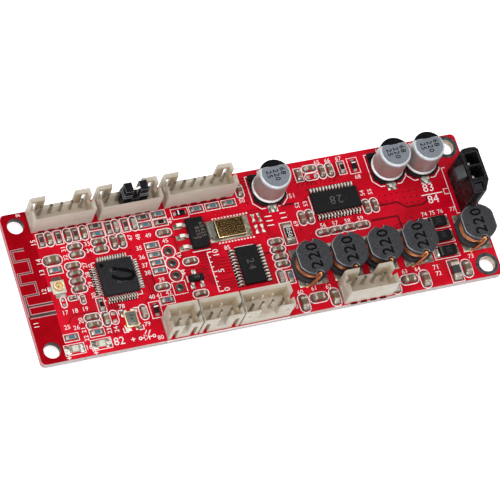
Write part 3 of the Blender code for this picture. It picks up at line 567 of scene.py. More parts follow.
lamp_tan = finish("lamp_tan", (0.46, 0.4, 0.28), (0.36, 0.3, 0.2), (0.35, 0.5), 1800.0, gloss=0.3)
lamp_yellow = finish("lamp_yellow", (0.6, 0.64, 0.46), (0.5, 0.55, 0.38), (0.3, 0.5), 2000.0)
print("plastics and ceramics:", len(bpy.data.materials), "materials so far")

# %% [markdown]
# Metals make half of the picture: tinned pads and leads, solder with its dull patches, gold on the
# socket and crystal, copper wire, and the drawn aluminium cans. A drawn can has fine lines round it,
# so its noise is stretched flat. The brass block is mottled with dark spots.

# %% Finishes of metals
tin = finish("tin", (0.62, 0.59, 0.52), (0.2, 0.185, 0.15), (0.25, 0.42), 1100.0, 1.0, 0.7, 0.02, metal=0.85,
             edge=0.1)
solder = finish("solder", (0.48, 0.45, 0.4), (0.2, 0.185, 0.16), (0.28, 0.48), 1300.0, 1.0, 0.7, 0.02,
                metal=0.9)
cap_metal = finish("cap_metal", (0.52, 0.475, 0.4), (0.27, 0.23, 0.18), (0.35, 0.5), 1500.0, 1.0, 0.5,
                   metal=0.6)
lead_tin = finish("lead_tin", (0.95, 0.9, 0.83), (0.84, 0.78, 0.7), (0.3, 0.45), 1300.0, 1.0, 0.3,
                  metal=0.25)
# Dark pads, painted as shade and dark reflection round the parts.
pad_painted_shade = finish("pad_painted_shade", (0.06, 0.035, 0.03), (0.12, 0.08, 0.065), (0.35, 0.5), 1100.0, 1.0, 0.5,
                  metal=0.2)
pad_metal = finish("pad_metal", (0.36, 0.34, 0.27), (0.11, 0.105, 0.085), (0.3, 0.5), 1000.0, 1.0, 0.7, 0.02,
                   metal=0.75, edge=0.1)
# Tin painted with bright glints and dark reflections in patches.
tin_painted_glints = finish("tin_painted_glints", (0.1, 0.085, 0.07), (0.82, 0.79, 0.72), (0.3, 0.5), 1300.0, 1.0, 0.6, 0.02,
                   metal=0.3, edge=0.05)
pin_metal = finish("pin_metal", (0.5, 0.45, 0.37), (0.36, 0.32, 0.25), (0.25, 0.4), 1500.0, metal=0.6)
# Darker metal painted on the pin tips as a dark reflection.
pin_tip_dark_reflection = finish("pin_tip_dark_reflection", (0.16, 0.14, 0.11), (0.1, 0.09, 0.07), (0.3, 0.45), 1500.0, metal=1.0)
contact_bright = finish("contact_bright", (0.8, 0.78, 0.72), (0.66, 0.64, 0.58), (0.3, 0.42), 1300.0,
                        metal=0.75)
gold = finish("gold_plating", (0.8, 0.66, 0.4), (0.66, 0.5, 0.27), (0.25, 0.38), 1500.0, metal=0.85)
lid_grey = finish("lid_grey", (0.17, 0.165, 0.145), (0.12, 0.115, 0.1), (0.3, 0.45), 1800.0, 1.0, 0.4,
                  metal=0.9)
copper = finish("copper", (0.72, 0.34, 0.15), (0.5, 0.19, 0.075), (0.3, 0.42), 1200.0, metal=1.0, coat=0.1)
brass = finish("speckled_brass", (0.012, 0.007, 0.003), (0.34, 0.19, 0.045), (0.28, 0.42), 5600.0, 1.0, 0.5,
               0.01, metal=0.8, edge=0.04, middle=0.58)
# Bright brass painted on the block's beveled edges as a highlight.
brass_edge_highlight = finish("brass_edge_highlight", (0.9, 0.74, 0.44), (0.78, 0.6, 0.3), (0.2, 0.35), 1500.0, metal=1.0)
can_print_grey = finish("can_print_grey", (0.22, 0.24, 0.27), (0.18, 0.2, 0.225), (0.35, 0.5), 1800.0,
                        gloss=0.2)
can_print_black = finish("can_print_black", (0.003, 0.003, 0.004), (0.007, 0.007, 0.008), (0.3, 0.45),
                         1800.0, gloss=0.04)


def drawn_can():
    """Bare drawn aluminium, with its noise stretched into fine lines round the can."""
    made = finish("can_aluminium", (0.46, 0.44, 0.42), (0.39, 0.365, 0.35), (0.4, 0.5), 600.0, bump=0.03,
                  metal=0.6)
    nodes, link = made.node_tree.nodes, made.node_tree.links.new
    where = nodes.new("ShaderNodeTexCoord")
    stretch = nodes.new("ShaderNodeMapping")
    stretch.inputs["Scale"].default_value = (250.0, 250.0, 6000.0)
    lines = nodes.new("ShaderNodeTexNoise")
    lines.inputs["Scale"].default_value = 1.0
    relief = nodes["Bump"]
    link(where.outputs["Object"], stretch.inputs["Vector"])
    link(stretch.outputs["Vector"], lines.inputs["Vector"])
    link(lines.outputs["Fac"], relief.inputs["Height"])
    return made


can_aluminium = drawn_can()
# Lighter, less metallic copies of the can's aluminium, painted as highlights on its shoulder and lip.
can_rim_highlight = finish("can_rim_highlight", (0.6, 0.63, 0.66), (0.5, 0.53, 0.56), (0.4, 0.55), 1800.0, metal=0.35)
can_lip_highlight = finish("can_lip_highlight", (0.88, 0.88, 0.9), (0.78, 0.78, 0.8), (0.35, 0.5), 1800.0, metal=0.2)
print("metals:", tin.name, solder.name, gold.name, copper.name, brass.name, can_aluminium.name)

# %% [markdown]
# The bare board starts as a cube scaled to the solid's box. Its four upright edges are beveled round,
# and the screw holes, pin holes and open plated holes are cut with cylinders in one Boolean. The top
# face is then bisected where the copper ends near the aerial, so that each side takes its own red.

# %% The bare board
hole_inset = 2.6
hole_diameter = 3.2
copper_end = 5.3
pin_pitch = 2.0
screw_xs, screw_ys = ((hole_inset, size - hole_inset) for size in (board_length, board_width))
screw_holes = [(x, y) for x in screw_xs for y in screw_ys]
open_holes = [(29.8, y) for y in (9.9, 12.44, 14.98, 17.52)]


def header_pins(node, count, plain_side):
    """Places of a header's pins, from its box: 2 mm apart, 2.8 mm from the outside of the plain wall."""
    low, high = (Vector(corner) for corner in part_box(node))
    left, front = on_board(*low.xy)
    back = on_board(*high.xy)[1]
    y = front + 2.8 if plain_side == "front" else back - 2.8
    return [(left + 1.95 + pin_pitch * number, y) for number in range(count)]


headers = {
    "header_back_1": (5, "front"),
    "header_back_2": (5, "front"),
    "header_back_3": (6, "front"),
    "header_front_1": (2, "back"),
    "header_front_2": (3, "back"),
    "header_front_3": (4, "back"),
    "header_speaker": (4, "front"),
}
pin_places = {node: header_pins(node, *values) for node, values in headers.items()}
power_right, power_back = on_board(*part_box("power_connector")[1][:2])
power_x = power_right - 1.85
power_pins = [(power_x, power_back - 2.3 - 2.85 * number) for number in range(2)]

board = block("bare_board", (0, 0, -board_thickness), (board_length, board_width, 0))
pick(board, "EDGE", lambda edge: along(edge, 2))
bpy.ops.mesh.bevel(offset=1.0 * MM, segments=8)
tools = [round_bar("tool", x, y, -3, 1, hole_diameter, 64) for x, y in screw_holes]
tools += [round_bar("tool", x, y, -3, 1, 1.0, 24) for x, y in open_holes]
small_holes = [spot for spots in pin_places.values() for spot in spots]
tools += [round_bar("tool", x, y, -3, 1, 0.9, 12) for x, y in small_holes]
tools += [round_bar("tool", x, y, -3, 1, 1.3, 16) for x, y in power_pins]
carve(board, tools)
pick(board, "FACE", lambda face: True)
bpy.ops.mesh.bisect(plane_co=place(copper_end, 0), plane_no=(1, 0, 0))
leave_edit()
smooth(round_edges(board, 0.06, 2, math.radians(60)))


def board_surface(centre, normal):
    """0 is mask over copper, 1 over bare laminate, 2 and 4 sawn edges, 4 the left one with a painted pink
    reflection of the mask, 3 hole walls in painted shade and 5 the walls of the right screw holes.
    """
    spot = (centre - place(0, 0)) / MM
    if abs(normal.z) > 0.6:
        return 1 if spot.x < copper_end else 0
    outline = min(spot.x, spot.y, board_length - spot.x, board_width - spot.y) < 0.6
    near_screw = any(math.dist(spot[:2], hole) < 2.0 for hole in screw_holes)
    if outline and not near_screw:
        return 4 if normal.x < -0.6 else 2
    return 5 if near_screw and spot.x > board_length / 2 else 3


for polygon in board.data.polygons:
    polygon.material_index = board_surface(polygon.center, polygon.normal)
paint(board, mask_red, mask_dark, laminate_edge, barrel_shade, pink_rim_and_reflection, barrel_bright)
belong(board, "solder_mask", "board")
print("bare board", len(board.data.polygons), "faces,", len(screw_holes), "screw holes,", len(small_holes),
      "pin holes")

# %% [markdown]
# Copper runs, the aerial and the printed lines are all thin flat strips. Each is a poly curve with a
# round bevel that is scaled nearly flat, which gives it soft rounded edges and ends, as ink and
# lacquer have. The curve becomes a mesh before its place is applied.


# %% Flat strips along a route
def bars(name, routes, width, resolution=2, closed=False, z=0.0, flatness=1.0):
    """Round bars along routes in board millimetres, squeezed in height by the flatness."""
    clear_selection()
    bpy.ops.curve.primitive_bezier_curve_add(location=place(0, 0, z))
    piece = bpy.context.active_object
    piece.name = name
    curve = piece.data
    curve.splines.clear()
    for route in routes:
        spline = curve.splines.new("POLY")
        spline.points.add(len(route) - 1)
        for point, (x, y, *rise) in zip(spline.points, route):
            point.co = (x * MM, y * MM, sum(rise) * MM, 1)
        spline.use_cyclic_u = closed
    curve.bevel_depth = width * MM / 2
    curve.bevel_resolution = resolution
    curve.use_fill_caps = True
    piece.scale.z = flatness
    take(piece)
    bpy.ops.object.convert(target="MESH")
    return smooth(apply_place(piece), 60)


def strips(name, routes, width, height, surface, slot, closed=False, z=0.0):
    piece = bars(name, routes, width, 1, closed, z, 2 * height / width)
    return belong(paint(piece, surface), slot)


def arc(x, y, radius, start, end, steps=8):
    turns = [math.radians(start + (end - start) * step / steps) for step in range(steps + 1)]
    return [(x + radius * math.cos(turn), y + radius * math.sin(turn)) for turn in turns]


def parallel(route, pitch, count):
    """The same run repeated side by side, each a pitch further along x and y."""
    return [[(x + number * pitch[0], y + number * pitch[1]) for x, y in route] for number in range(count)]


# %% The aerial
aerial_left, aerial_right = 0.45, 3.1
aerial_steps = [23.3, 21.1, 18.5, 16.4, 14.0]
aerial = [(2.8, aerial_steps[0]), (aerial_left, aerial_steps[0])]
side = aerial_left
for level in aerial_steps[1:]:
    aerial.append((side, level))
    side = aerial_right if side == aerial_left else aerial_left
    aerial.append((side, level))
aerial.append((aerial_left, 9.8))
strips("aerial_run", [aerial, [(aerial_left, 11.8), (5.3, 11.8)]], 0.5, 0.03, aerial_brown, "solder_mask")
strips("aerial_feed", [[(0.3, 9.8), (5.4, 9.8)]], 0.75, 0.03, aerial_brown, "solder_mask")
strips("aerial_run_rim", [aerial, [(aerial_left, 11.8), (5.3, 11.8)]], 0.66, 0.02, pink_rim_and_reflection, "solder_mask")
strips("aerial_feed_rim", [[(0.3, 9.8), (5.4, 9.8)]], 0.91, 0.02, pink_rim_and_reflection, "solder_mask")
print("aerial with", len(aerial), "corners")

# %% [markdown]
# Where two copper areas meet, a dark gap shows through the lacquer, and thin runs leave the chips in
# bundles with dark gaps between them. Only the gaps are drawn, because the copper itself looks like
# the board round it.

# %% Gaps between the copper areas
wide_gaps = [
    [(70.8, 15.9), (76.3, 15.9), (76.5, 15.7), (76.5, 13.2)],
    [(73.2, 18.7), (77.3, 18.7), (78.9, 17.3), (82.4, 17.3), (83.4, 17.9), (83.4, 18.6)],
    [(47.4, 13.4), (49.0, 13.4)],
    [(53.6, 23.2), (54.4, 22.4), (57.0, 22.4), (57.8, 21.8)],
]
fine_bundles = [
    ([(35.2, 15.8), (36.6, 15.8), (38.6, 14.2), (40.6, 14.2)], (0.0, -0.65), 6),
    ([(35.6, 11.6), (36.8, 10.6), (38.0, 9.7), (40.6, 9.7)], (0.0, -0.55), 4),
    ([(61.1, 25.4), (61.1, 26.0), (60.4, 26.7), (58.2, 26.7)], (0.5, -0.06), 4),
    ([(66.2, 25.3), (66.2, 26.2), (67.0, 27.0), (67.0, 29.2)], (0.45, 0.1), 5),
    ([(22.9, 12.6), (24.0, 11.6), (24.0, 9.8), (22.6, 8.4)], (0.45, 0.1), 3),
    ([(14.4, 19.2), (14.4, 20.3), (13.9, 20.8), (13.9, 23.0)], (0.55, 0.0), 2),
    ([(47.0, 22.6), (49.4, 22.6), (50.4, 21.6), (50.4, 17.4), (52.0, 16.2)], (-0.4, -0.5), 2),
    ([(30.2, 21.0), (31.6, 20.0), (31.6, 16.2), (33.4, 14.9)], (0.45, 0.0), 2),
    ([(62.0, 17.6), (62.0, 16.8), (60.6, 16.4)], (1.95, 0.0), 4),
    ([(15.5, 9.4), (15.5, 8.6), (16.9, 8.2)], (0.5, 0.0), 4),
    ([(7.0, 6.9), (7.5, 7.8), (8.4, 8.5), (12.8, 8.5)], (0.0, 0.0), 1),
    ([(58.6, 25.4), (58.9, 26.1), (60.4, 26.9), (60.9, 28.3)], (0.95, 0.0), 9),
    ([(22.6, 12.9), (24.4, 12.9), (25.3, 12.0), (25.3, 9.6)], (0.0, 0.5), 5),
    ([(14.9, 9.4), (14.9, 8.3), (13.2, 6.9), (13.2, 3.4)], (0.55, -0.05), 7),
    ([(37.6, 27.6), (52.0, 27.6), (53.4, 26.2), (53.4, 24.2)], (0.0, 0.6), 4),
    ([(31.6, 13.4), (35.0, 13.4), (36.2, 12.4)], (0.0, -0.6), 3),
    ([(70.4, 12.3), (74.0, 12.3), (75.6, 13.6), (80.6, 13.6)], (0.0, 0.55), 2),
]
fine_gaps = [gap for bundle in fine_bundles for gap in parallel(*bundle)]
strips("copper_gaps_wide", wide_gaps, 0.45, 0.02, mask_channel, "solder_mask")
strips("copper_gaps_fine", fine_gaps, 0.26, 0.012, mask_line, "solder_mask")
print("copper gaps:", len(wide_gaps), "wide,", len(fine_gaps), "fine")

# %% [markdown]
# A via is a plated hole far smaller than a pin hole, covered by the lacquer: a low red rim with a
# dark dimple. One is modelled from a cylinder whose top is inset and pushed down, and it is copied
# to each place.

# %% Vias
via = round_bar("via_template", 0, 0, -0.02, 0.03, 0.62, 16)
inset_top(via, 0.14, -0.02)
mark_faces(via, 1, lambda centre, normal: normal.z > 0.9 and (centre - place(0, 0)).length < 0.1 * MM)
paint(smooth(via), mask_red, dark_hole_and_shadow)
via_places = [(x, y) for y in (20.6, 19.3, 18.1) for x in (79.1, 80.35, 81.6)]
via_places += [(x, y) for y in (20.6, 19.3) for x in (74.1, 75.3, 76.5)]
via_places += [(77.8, 20.6), (77.8, 15.0), (79.0, 15.0), (82.9, 16.2), (86.2, 16.1), (81.0, 14.6),
               (83.6, 16.4)]
via_places += [(20.7, 23.0), (22.6, 19.2), (23.4, 16.8), (10.2, 12.6), (15.2, 3.2), (33.2, 22.6),
               (36.0, 23.4)]
via_places += [(47.8, 24.2), (50.2, 24.4), (56.6, 16.9), (57.3, 14.0), (49.4, 16.6), (73.6, 25.6),
               (60.2, 24.6)]
via_places += [(24.9, 3.3), (52.6, 7.0), (56.9, 4.6), (80.2, 6.4), (31.0, 8.6), (35.6, 5.4), (59.4, 22.8)]
vias = [copy_to(via, "via", x, y) for x, y in via_places]
discard(via)
belong(join(vias, "vias"), "solder_mask")
print("vias", len(via_places))

# %% [markdown]
# The four open holes wait for a pin strip. Each has a tinned ring, and the right-hand screw holes
# have a wide dull ring for the screw's head. A ring is a cylinder cut by a smaller one.


# %% Rings round the holes
def ring(name, x, y, outer, inner, height, surface, sides=48):
    piece = round_bar(name, x, y, 0.0, height, outer, sides)
    carve(piece, [round_bar("tool", x, y, -1, height + 1, inner, sides)])
    smooth(round_edges(piece, min(height, 0.1) / 3, 2, math.radians(40)))
    return belong(paint(piece, surface), "tinned_metal")


for number, (x, y) in enumerate(open_holes, start=1):
    ring(f"open_hole_ring_{number}", x, y, 1.75, 1.0, 0.04, hole_brown, sides=32)
for number, (x, y) in enumerate([hole for hole in screw_holes if hole[0] > board_length / 2], start=1):
    ring(f"screw_ring_{number}", x, y, 4.7, 3.22, 0.05, dull_ring_and_groove_shade)
print("rings", len(open_holes) + 2)

# %% [markdown]
# White ink outlines every part and names it. The names here are only plain numbers. An outline is a
# closed thin strip: a rectangle for resistors, with rounded ends for capacitors. All the outlines of
# one kind go into one curve, because a hundred small curves would make the scene slow.


# %% Printed outlines and numbers
def box_route(x, y, width, length, turn=0):
    if turn:
        width, length = length, width
    return [
        (x - width / 2, y - length / 2),
        (x + width / 2, y - length / 2),
        (x + width / 2, y + length / 2),
        (x - width / 2, y + length / 2),
    ]


def pill_route(x, y, width, length, turn=0):
    """A box whose short ends are round, lying along x when turned."""
    radius = width / 2
    reach = length / 2 - radius
    route = arc(0, reach, radius, 0, 180) + arc(0, -reach, radius, 180, 360)
    if turn:
        route = [(-b, a) for a, b in route]
    return [(x + a, y + b) for a, b in route]


def corner_routes(x, y, width, length, reach):
    """Only the four corners of a box."""
    routes = []
    for a in (-1, 1):
        for b in (-1, 1):
            corner = (x + a * width / 2, y + b * length / 2)
            routes.append([(corner[0] - a * reach, corner[1]), corner, (corner[0], corner[1] - b * reach)])
    return routes


outline_routes = []
open_routes = []


def print_numbers(name, prints, surface, z=0.0, thickness=0.02, space=1.0, thin=0.0):
    """Plain numbers in Blender's own font, each placed by its middle, made into one thin mesh."""
    font_size = 1.38
    pieces = []
    for text, x, y, size, turn in prints:
        clear_selection()
        bpy.ops.object.text_add(location=place(x, y, z), rotation=(0, 0, math.radians(turn)))
        piece = bpy.context.active_object
        piece.data.body = text
        piece.data.align_x = "CENTER"
        piece.data.align_y = "CENTER"
        piece.data.size = size * font_size * MM
        piece.data.space_character = space
        piece.data.extrude = thickness * MM
        piece.data.resolution_u = 2
        piece.data.offset = thin * MM
        bpy.ops.object.convert(target="MESH")
        pieces.append(apply_place(piece))
    return paint(join(pieces, name), surface)


print("outline helpers ready")

# %% [markdown]
# Small chip parts come in three sizes here, and each is the same part many times over: a ceramic body,
# a tinned cap on both ends, and a solder fillet that runs down from the cap to the pad. The body is a
# cube with beveled edges. The cap wraps round it, a little larger all round. The fillet is a cube
# whose outer top edge is pulled down to the pad.


# %% Chip parts
def pulled_fillet(name, low, high, outward):
    """A solder fillet: a block whose outer top edge comes down to the pad."""
    outer = high[1] if outward > 0 else low[1]
    return pull_edge(block(name, low, high), 1, outer, high[2], (high[2] - low[2]) * 0.82)


def chip_part(name, width, length, height, surface, pad_reach, film=None):
    """A chip part lying along y: its body, two end caps, two fillets and two pads."""
    half, reach = width / 2, length / 2
    cap = length * (0.17 if film else 0.24)
    skin = 0.03
    low, high = (-half + skin, -reach + skin, 0.09), (half - skin, reach - skin, height - skin)
    parts = [paint(block(name, low, high), surface)]
    if film:
        low, high = (-half + 0.04, -reach + cap, height - skin), (half - 0.04, reach - cap, height + 0.01)
        parts.append(paint(block("film", low, high), film))
    for side in (-1, 1):
        low_y, high_y = sorted((side * (reach - cap), side * reach))
        shell = block("cap", (-half, low_y, 0.06), (half, high_y, height))
        round_edges(shell, min(width, height) * 0.09)
        low_y, high_y = sorted((side * (reach - 0.02), side * (reach + pad_reach * 0.75)))
        low, high = (-half + 0.02, low_y, 0.0), (half - 0.02, high_y, height * 0.62)
        fillet = pulled_fillet("fillet", low, high, side)
        round_edges(fillet, 0.07)
        # The pads are painted dark, as shade and dark reflection round the part.
        low_y, high_y = sorted((side * (reach - cap * 1.2), side * (reach + pad_reach + 0.08)))
        pad = block("pad", (-half - 0.2, low_y, -0.01), (half + 0.2, high_y, 0.03))
        round_edges(pad, 0.02, 1)
        parts += [paint(shell, cap_metal), paint(fillet, solder), paint(pad, pad_painted_shade)]
    return smooth(join(parts, name), 40)


standard = (0.8, 1.6)
templates = {
    "brown": chip_part("chip_brown", *standard, 0.75, brown_ceramic, 0.42),
    "pink": chip_part("chip_pink", *standard, 0.75, pink_ceramic, 0.42),
    "khaki": chip_part("chip_khaki", *standard, 0.8, khaki_ceramic, 0.42),
    "pale": chip_part("chip_pale", *standard, 0.7, pale_ceramic, 0.42),
    "teal": chip_part("resistor_teal", *standard, 0.45, white_ceramic, 0.4, film_teal),
    "black": chip_part("resistor_black", *standard, 0.45, white_ceramic, 0.4, film_black),
    "grey": chip_part("resistor_grey", *standard, 0.45, white_ceramic, 0.4, film_grey),
    "small": chip_part("chip_small", 0.5, 1.0, 0.5, brown_ceramic, 0.25),
    "large": chip_part("chip_large", 1.25, 2.0, 1.1, brown_ceramic, 0.55),
}
print("chip templates", {key: len(piece.data.polygons) for key, piece in templates.items()})

# %% [markdown]
# Each part's place was read in the board's plane, and a word says which kind it is. An upright part
# lies along y and a level one along x. The larger chip capacitors are solids of their own, so their
# copies stand exactly where those solids are.

# %% Small chips on the board
upright = [
    ("brown", [(8.1, 24.4), (11.7, 24.4), (14.9, 24.4), (20.0, 21.4), (21.6, 21.4), (47.0, 27.0)]),
    ("brown", [(57.5, 19.1), (59.1, 19.1), (70.9, 19.0), (72.6, 19.0), (64.4, 27.9), (66.1, 27.9)]),
    ("khaki", [(14.2, 6.6)]),
    ("pale", [(21.6, 6.5), (21.3, 24.4), (24.8, 24.4), (49.7, 8.1)]),
    ("black", [(14.1, 9.5), (68.6, 27.9)]),
    ("grey", [(6.5, 24.4), (9.9, 24.4), (13.2, 24.4), (19.8, 24.4), (23.1, 24.4)]),
    ("teal", [(51.5, 7.8)]),
    ("pink", [(59.6, 28.0)]),
]
level = [
    ("brown", [(11.0, 18.2), (11.0, 16.6), (11.0, 15.0), (11.0, 13.4), (11.7, 7.4), (11.7, 5.9)]),
    ("brown", [(12.4, 21.9), (12.4, 20.3), (17.2, 22.0), (17.2, 20.4), (30.0, 21.4), (33.4, 14.7)]),
    ("brown", [(33.4, 7.9), (50.8, 15.3), (50.8, 13.7), (50.8, 12.1), (50.8, 10.6), (62.1, 28.9)]),
    ("pink", [(60.8, 15.4), (63.5, 15.4), (66.2, 15.4), (68.9, 15.4)]),
    ("khaki", [(26.6, 10.7)]),
    ("black", [(30.0, 23.6)]),
    ("grey", [(17.4, 25.2), (26.9, 25.2)]),
    ("teal", [(11.8, 4.3), (6.8, 4.3), (26.7, 7.9), (27.0, 14.0), (27.0, 15.6), (27.0, 17.3), (27.0, 19.2)]),
    ("teal", [(17.4, 23.6), (26.9, 23.6), (30.0, 25.3), (7.5, 18.0), (37.6, 24.9), (40.9, 24.9),
              (44.2, 24.9)]),
]
film_kinds = ("teal", "black", "grey")
small_parts = []
for turn, groups in ((0, upright), (90, level)):
    for kind, spots in groups:
        for x, y in spots:
            small_parts.append(copy_to(templates[kind], f"small_{kind}_{len(small_parts) + 1}", x, y, turn))
            film = kind in film_kinds or kind == "pink" and not turn
            route = box_route(x, y, 1.55, 2.85, turn) if film else pill_route(x, y, 1.6, 3.15, turn)
            outline_routes.append(route)
for x, y, turn in ((9.3, 11.9, 90), (11.0, 11.3, 0)):
    small_parts.append(copy_to(templates["small"], f"small_chip_{len(small_parts) + 1}", x, y, turn))
    outline_routes.append(pill_route(x, y, 1.0, 2.0, turn))
for piece in small_parts:
    belong(piece, "resistor_black" if "black" in piece.name or "grey" in piece.name else "ceramic_brown")

large_turns = {2: 90, 5: 90, 8: 90}
for number in range(1, 9):
    node = f"chip_capacitor_{number}"
    x, y = node_middle(node)
    turn = large_turns.get(number, 0)
    belong(copy_to(templates["large"], f"dressed_{node}", x, y, turn), "ceramic_brown", node)
    outline_routes.append(pill_route(x, y, 2.1, 3.9, turn))
discard(*templates.values())
print("small parts", len(small_parts), "and 8 larger chip capacitors")

# %% [markdown]
# Three small diodes lie among the chips: a dark body with a pale stripe across it near one end, and
# flat metal tabs. A few pairs of pads are empty. A pad is a thin tinned plate with a soft solder
# crown, which is a cube with its top inset, raised and rounded.


# %% Small diodes and bare pads
def bare_pad(x, y, width, length, crown=0.06, surface=solder):
    piece = block("pad", (x - width / 2, y - length / 2, -0.01), (x + width / 2, y + length / 2, 0.04))
    inset_top(piece, min(width, length) * 0.18, crown)
    round_edges(piece, 0.03, 2, 0.2)
    return paint(smooth(piece, 60), surface)


def small_diode(name, x, y, turn):
    body = block("diode", (-0.45, -0.85, 0.1), (0.45, 0.85, 0.62))
    round_edges(body, 0.06)
    stripe = block("stripe", (-0.44, 0.3, 0.5), (0.44, 0.55, 0.635))
    parts = [paint(body, film_black), paint(stripe, ink)]
    for side in (-1, 1):
        low_y, high_y = sorted((side * 0.8, side * 1.3))
        parts.append(paint(pulled_fillet("tab", (-0.34, low_y, 0.0), (0.34, high_y, 0.3), side), solder))
    made = smooth(join(parts, "template"), 40)
    placed = copy_to(made, name, x, y, turn)
    discard(made)
    return belong(placed, "chip_moulding")


for number, (x, y, turn) in enumerate(((24.0, 6.5, 0), (34.2, 24.7, 90), (71.1, 27.9, 0)), start=1):
    small_diode(f"small_diode_{number}", x, y, turn)
    outline_routes.append(box_route(x, y, 2.1, 3.3, turn))

empty_pairs = [(7.3, 11.4, 0.55, 0.55, 0, 0.5), (15.8, 6.6, 0.8, 0.65, 0, 0.75),
               (62.1, 27.2, 0.8, 0.7, 90, 0.8)]
bare_pads = []
for x, y, width, length, turn, step in empty_pairs:
    for side in (-1, 1):
        if turn:
            bare_pads.append(bare_pad(x + side * step, y, length, width))
        else:
            bare_pads.append(bare_pad(x, y + side * step, width, length))
    outline_routes.append(pill_route(x, y, *((1.5, 2.9) if width > 0.6 else (1.1, 2.2)), turn))
belong(join(bare_pads, "empty_pads"), "tinned_metal")
print("small diodes 3, empty pads", 2 * len(empty_pairs))

# %% [markdown]
# A header's pin is square brass wire, tinned, with both ends tapered. The pin is a cube whose end
# faces are inset and moved out. Under the board each pin sits in a cone of solder, which is a disc
# extruded downwards and drawn in at each step, so its side is hollow like a real fillet.


# %% One pin and its solder cone
def header_pin(name, width, low, high, taper):
    piece = block(name, (-width / 2, -width / 2, low + taper), (width / 2, width / 2, high - taper))
    for direction in (-1, 1):
        pick(piece, "FACE", lambda face: face.normal.z * direction > 0.9)
        bpy.ops.mesh.inset(thickness=width * 0.22 * MM)
        bpy.ops.transform.translate(value=(0, 0, direction * taper * MM))
        leave_edit()
    round_edges(piece, 0.03, 1, 0.9)
    # The tip faces are painted darker, as a dark reflection.
    tip = place(0, 0, high - taper * 1.2).z
    mark_faces(piece, 1, lambda centre, normal: centre.z > tip)
    return smooth(piece, 30)


def solder_cone(name, foot, height):
    """The cone under the board, drawn in step by step from its foot to its tip."""
    clear_selection()
    level = -board_thickness
    bpy.ops.mesh.primitive_circle_add(vertices=20, radius=foot / 2 * MM, fill_type="NGON",
                                      location=place(0, 0, level))
    piece = bpy.context.active_object
    piece.name = name
    edit_whole(apply_place(piece))
    width = foot
    for share, part in ((0.9, 0.08), (0.68, 0.17), (0.52, 0.3), (0.44, 0.3), (0.3, 0.15)):
        bpy.ops.mesh.extrude_region_move(TRANSFORM_OT_translate={"value": (0, 0, -height * part * MM)})
        size = foot * share / width
        bpy.ops.transform.resize(value=(size, size, 1), center_override=place(0, 0, 0))
        width = foot * share
    leave_outward()
    return paint(smooth(piece, 70), solder)


pin_template = paint(header_pin("pin_template", 0.46, -board_thickness - 1.3, 5.4, 0.22), pin_metal, pin_tip_dark_reflection)
cone_template = solder_cone("cone_template", 1.7, 1.05)
print("pin", len(pin_template.data.polygons), "faces, cone", len(cone_template.data.polygons))

# %% [markdown]
# A wire header is an open box of cream nylon. It starts as a cube: the top face is inset and pushed
# down twice, which leaves a thin wall with a small step inside. Cuts then open the side between its
# two posts, notch the end walls, slot the posts and leave small feet along the plain wall. Thin ribs
# stand between the pins. Fine bevels soften all the edges, as moulding does. The rim and the ribs take
# a lighter cream as a painted highlight, and the inside, the collars and the notch ledges take darker
# creams as painted shade.


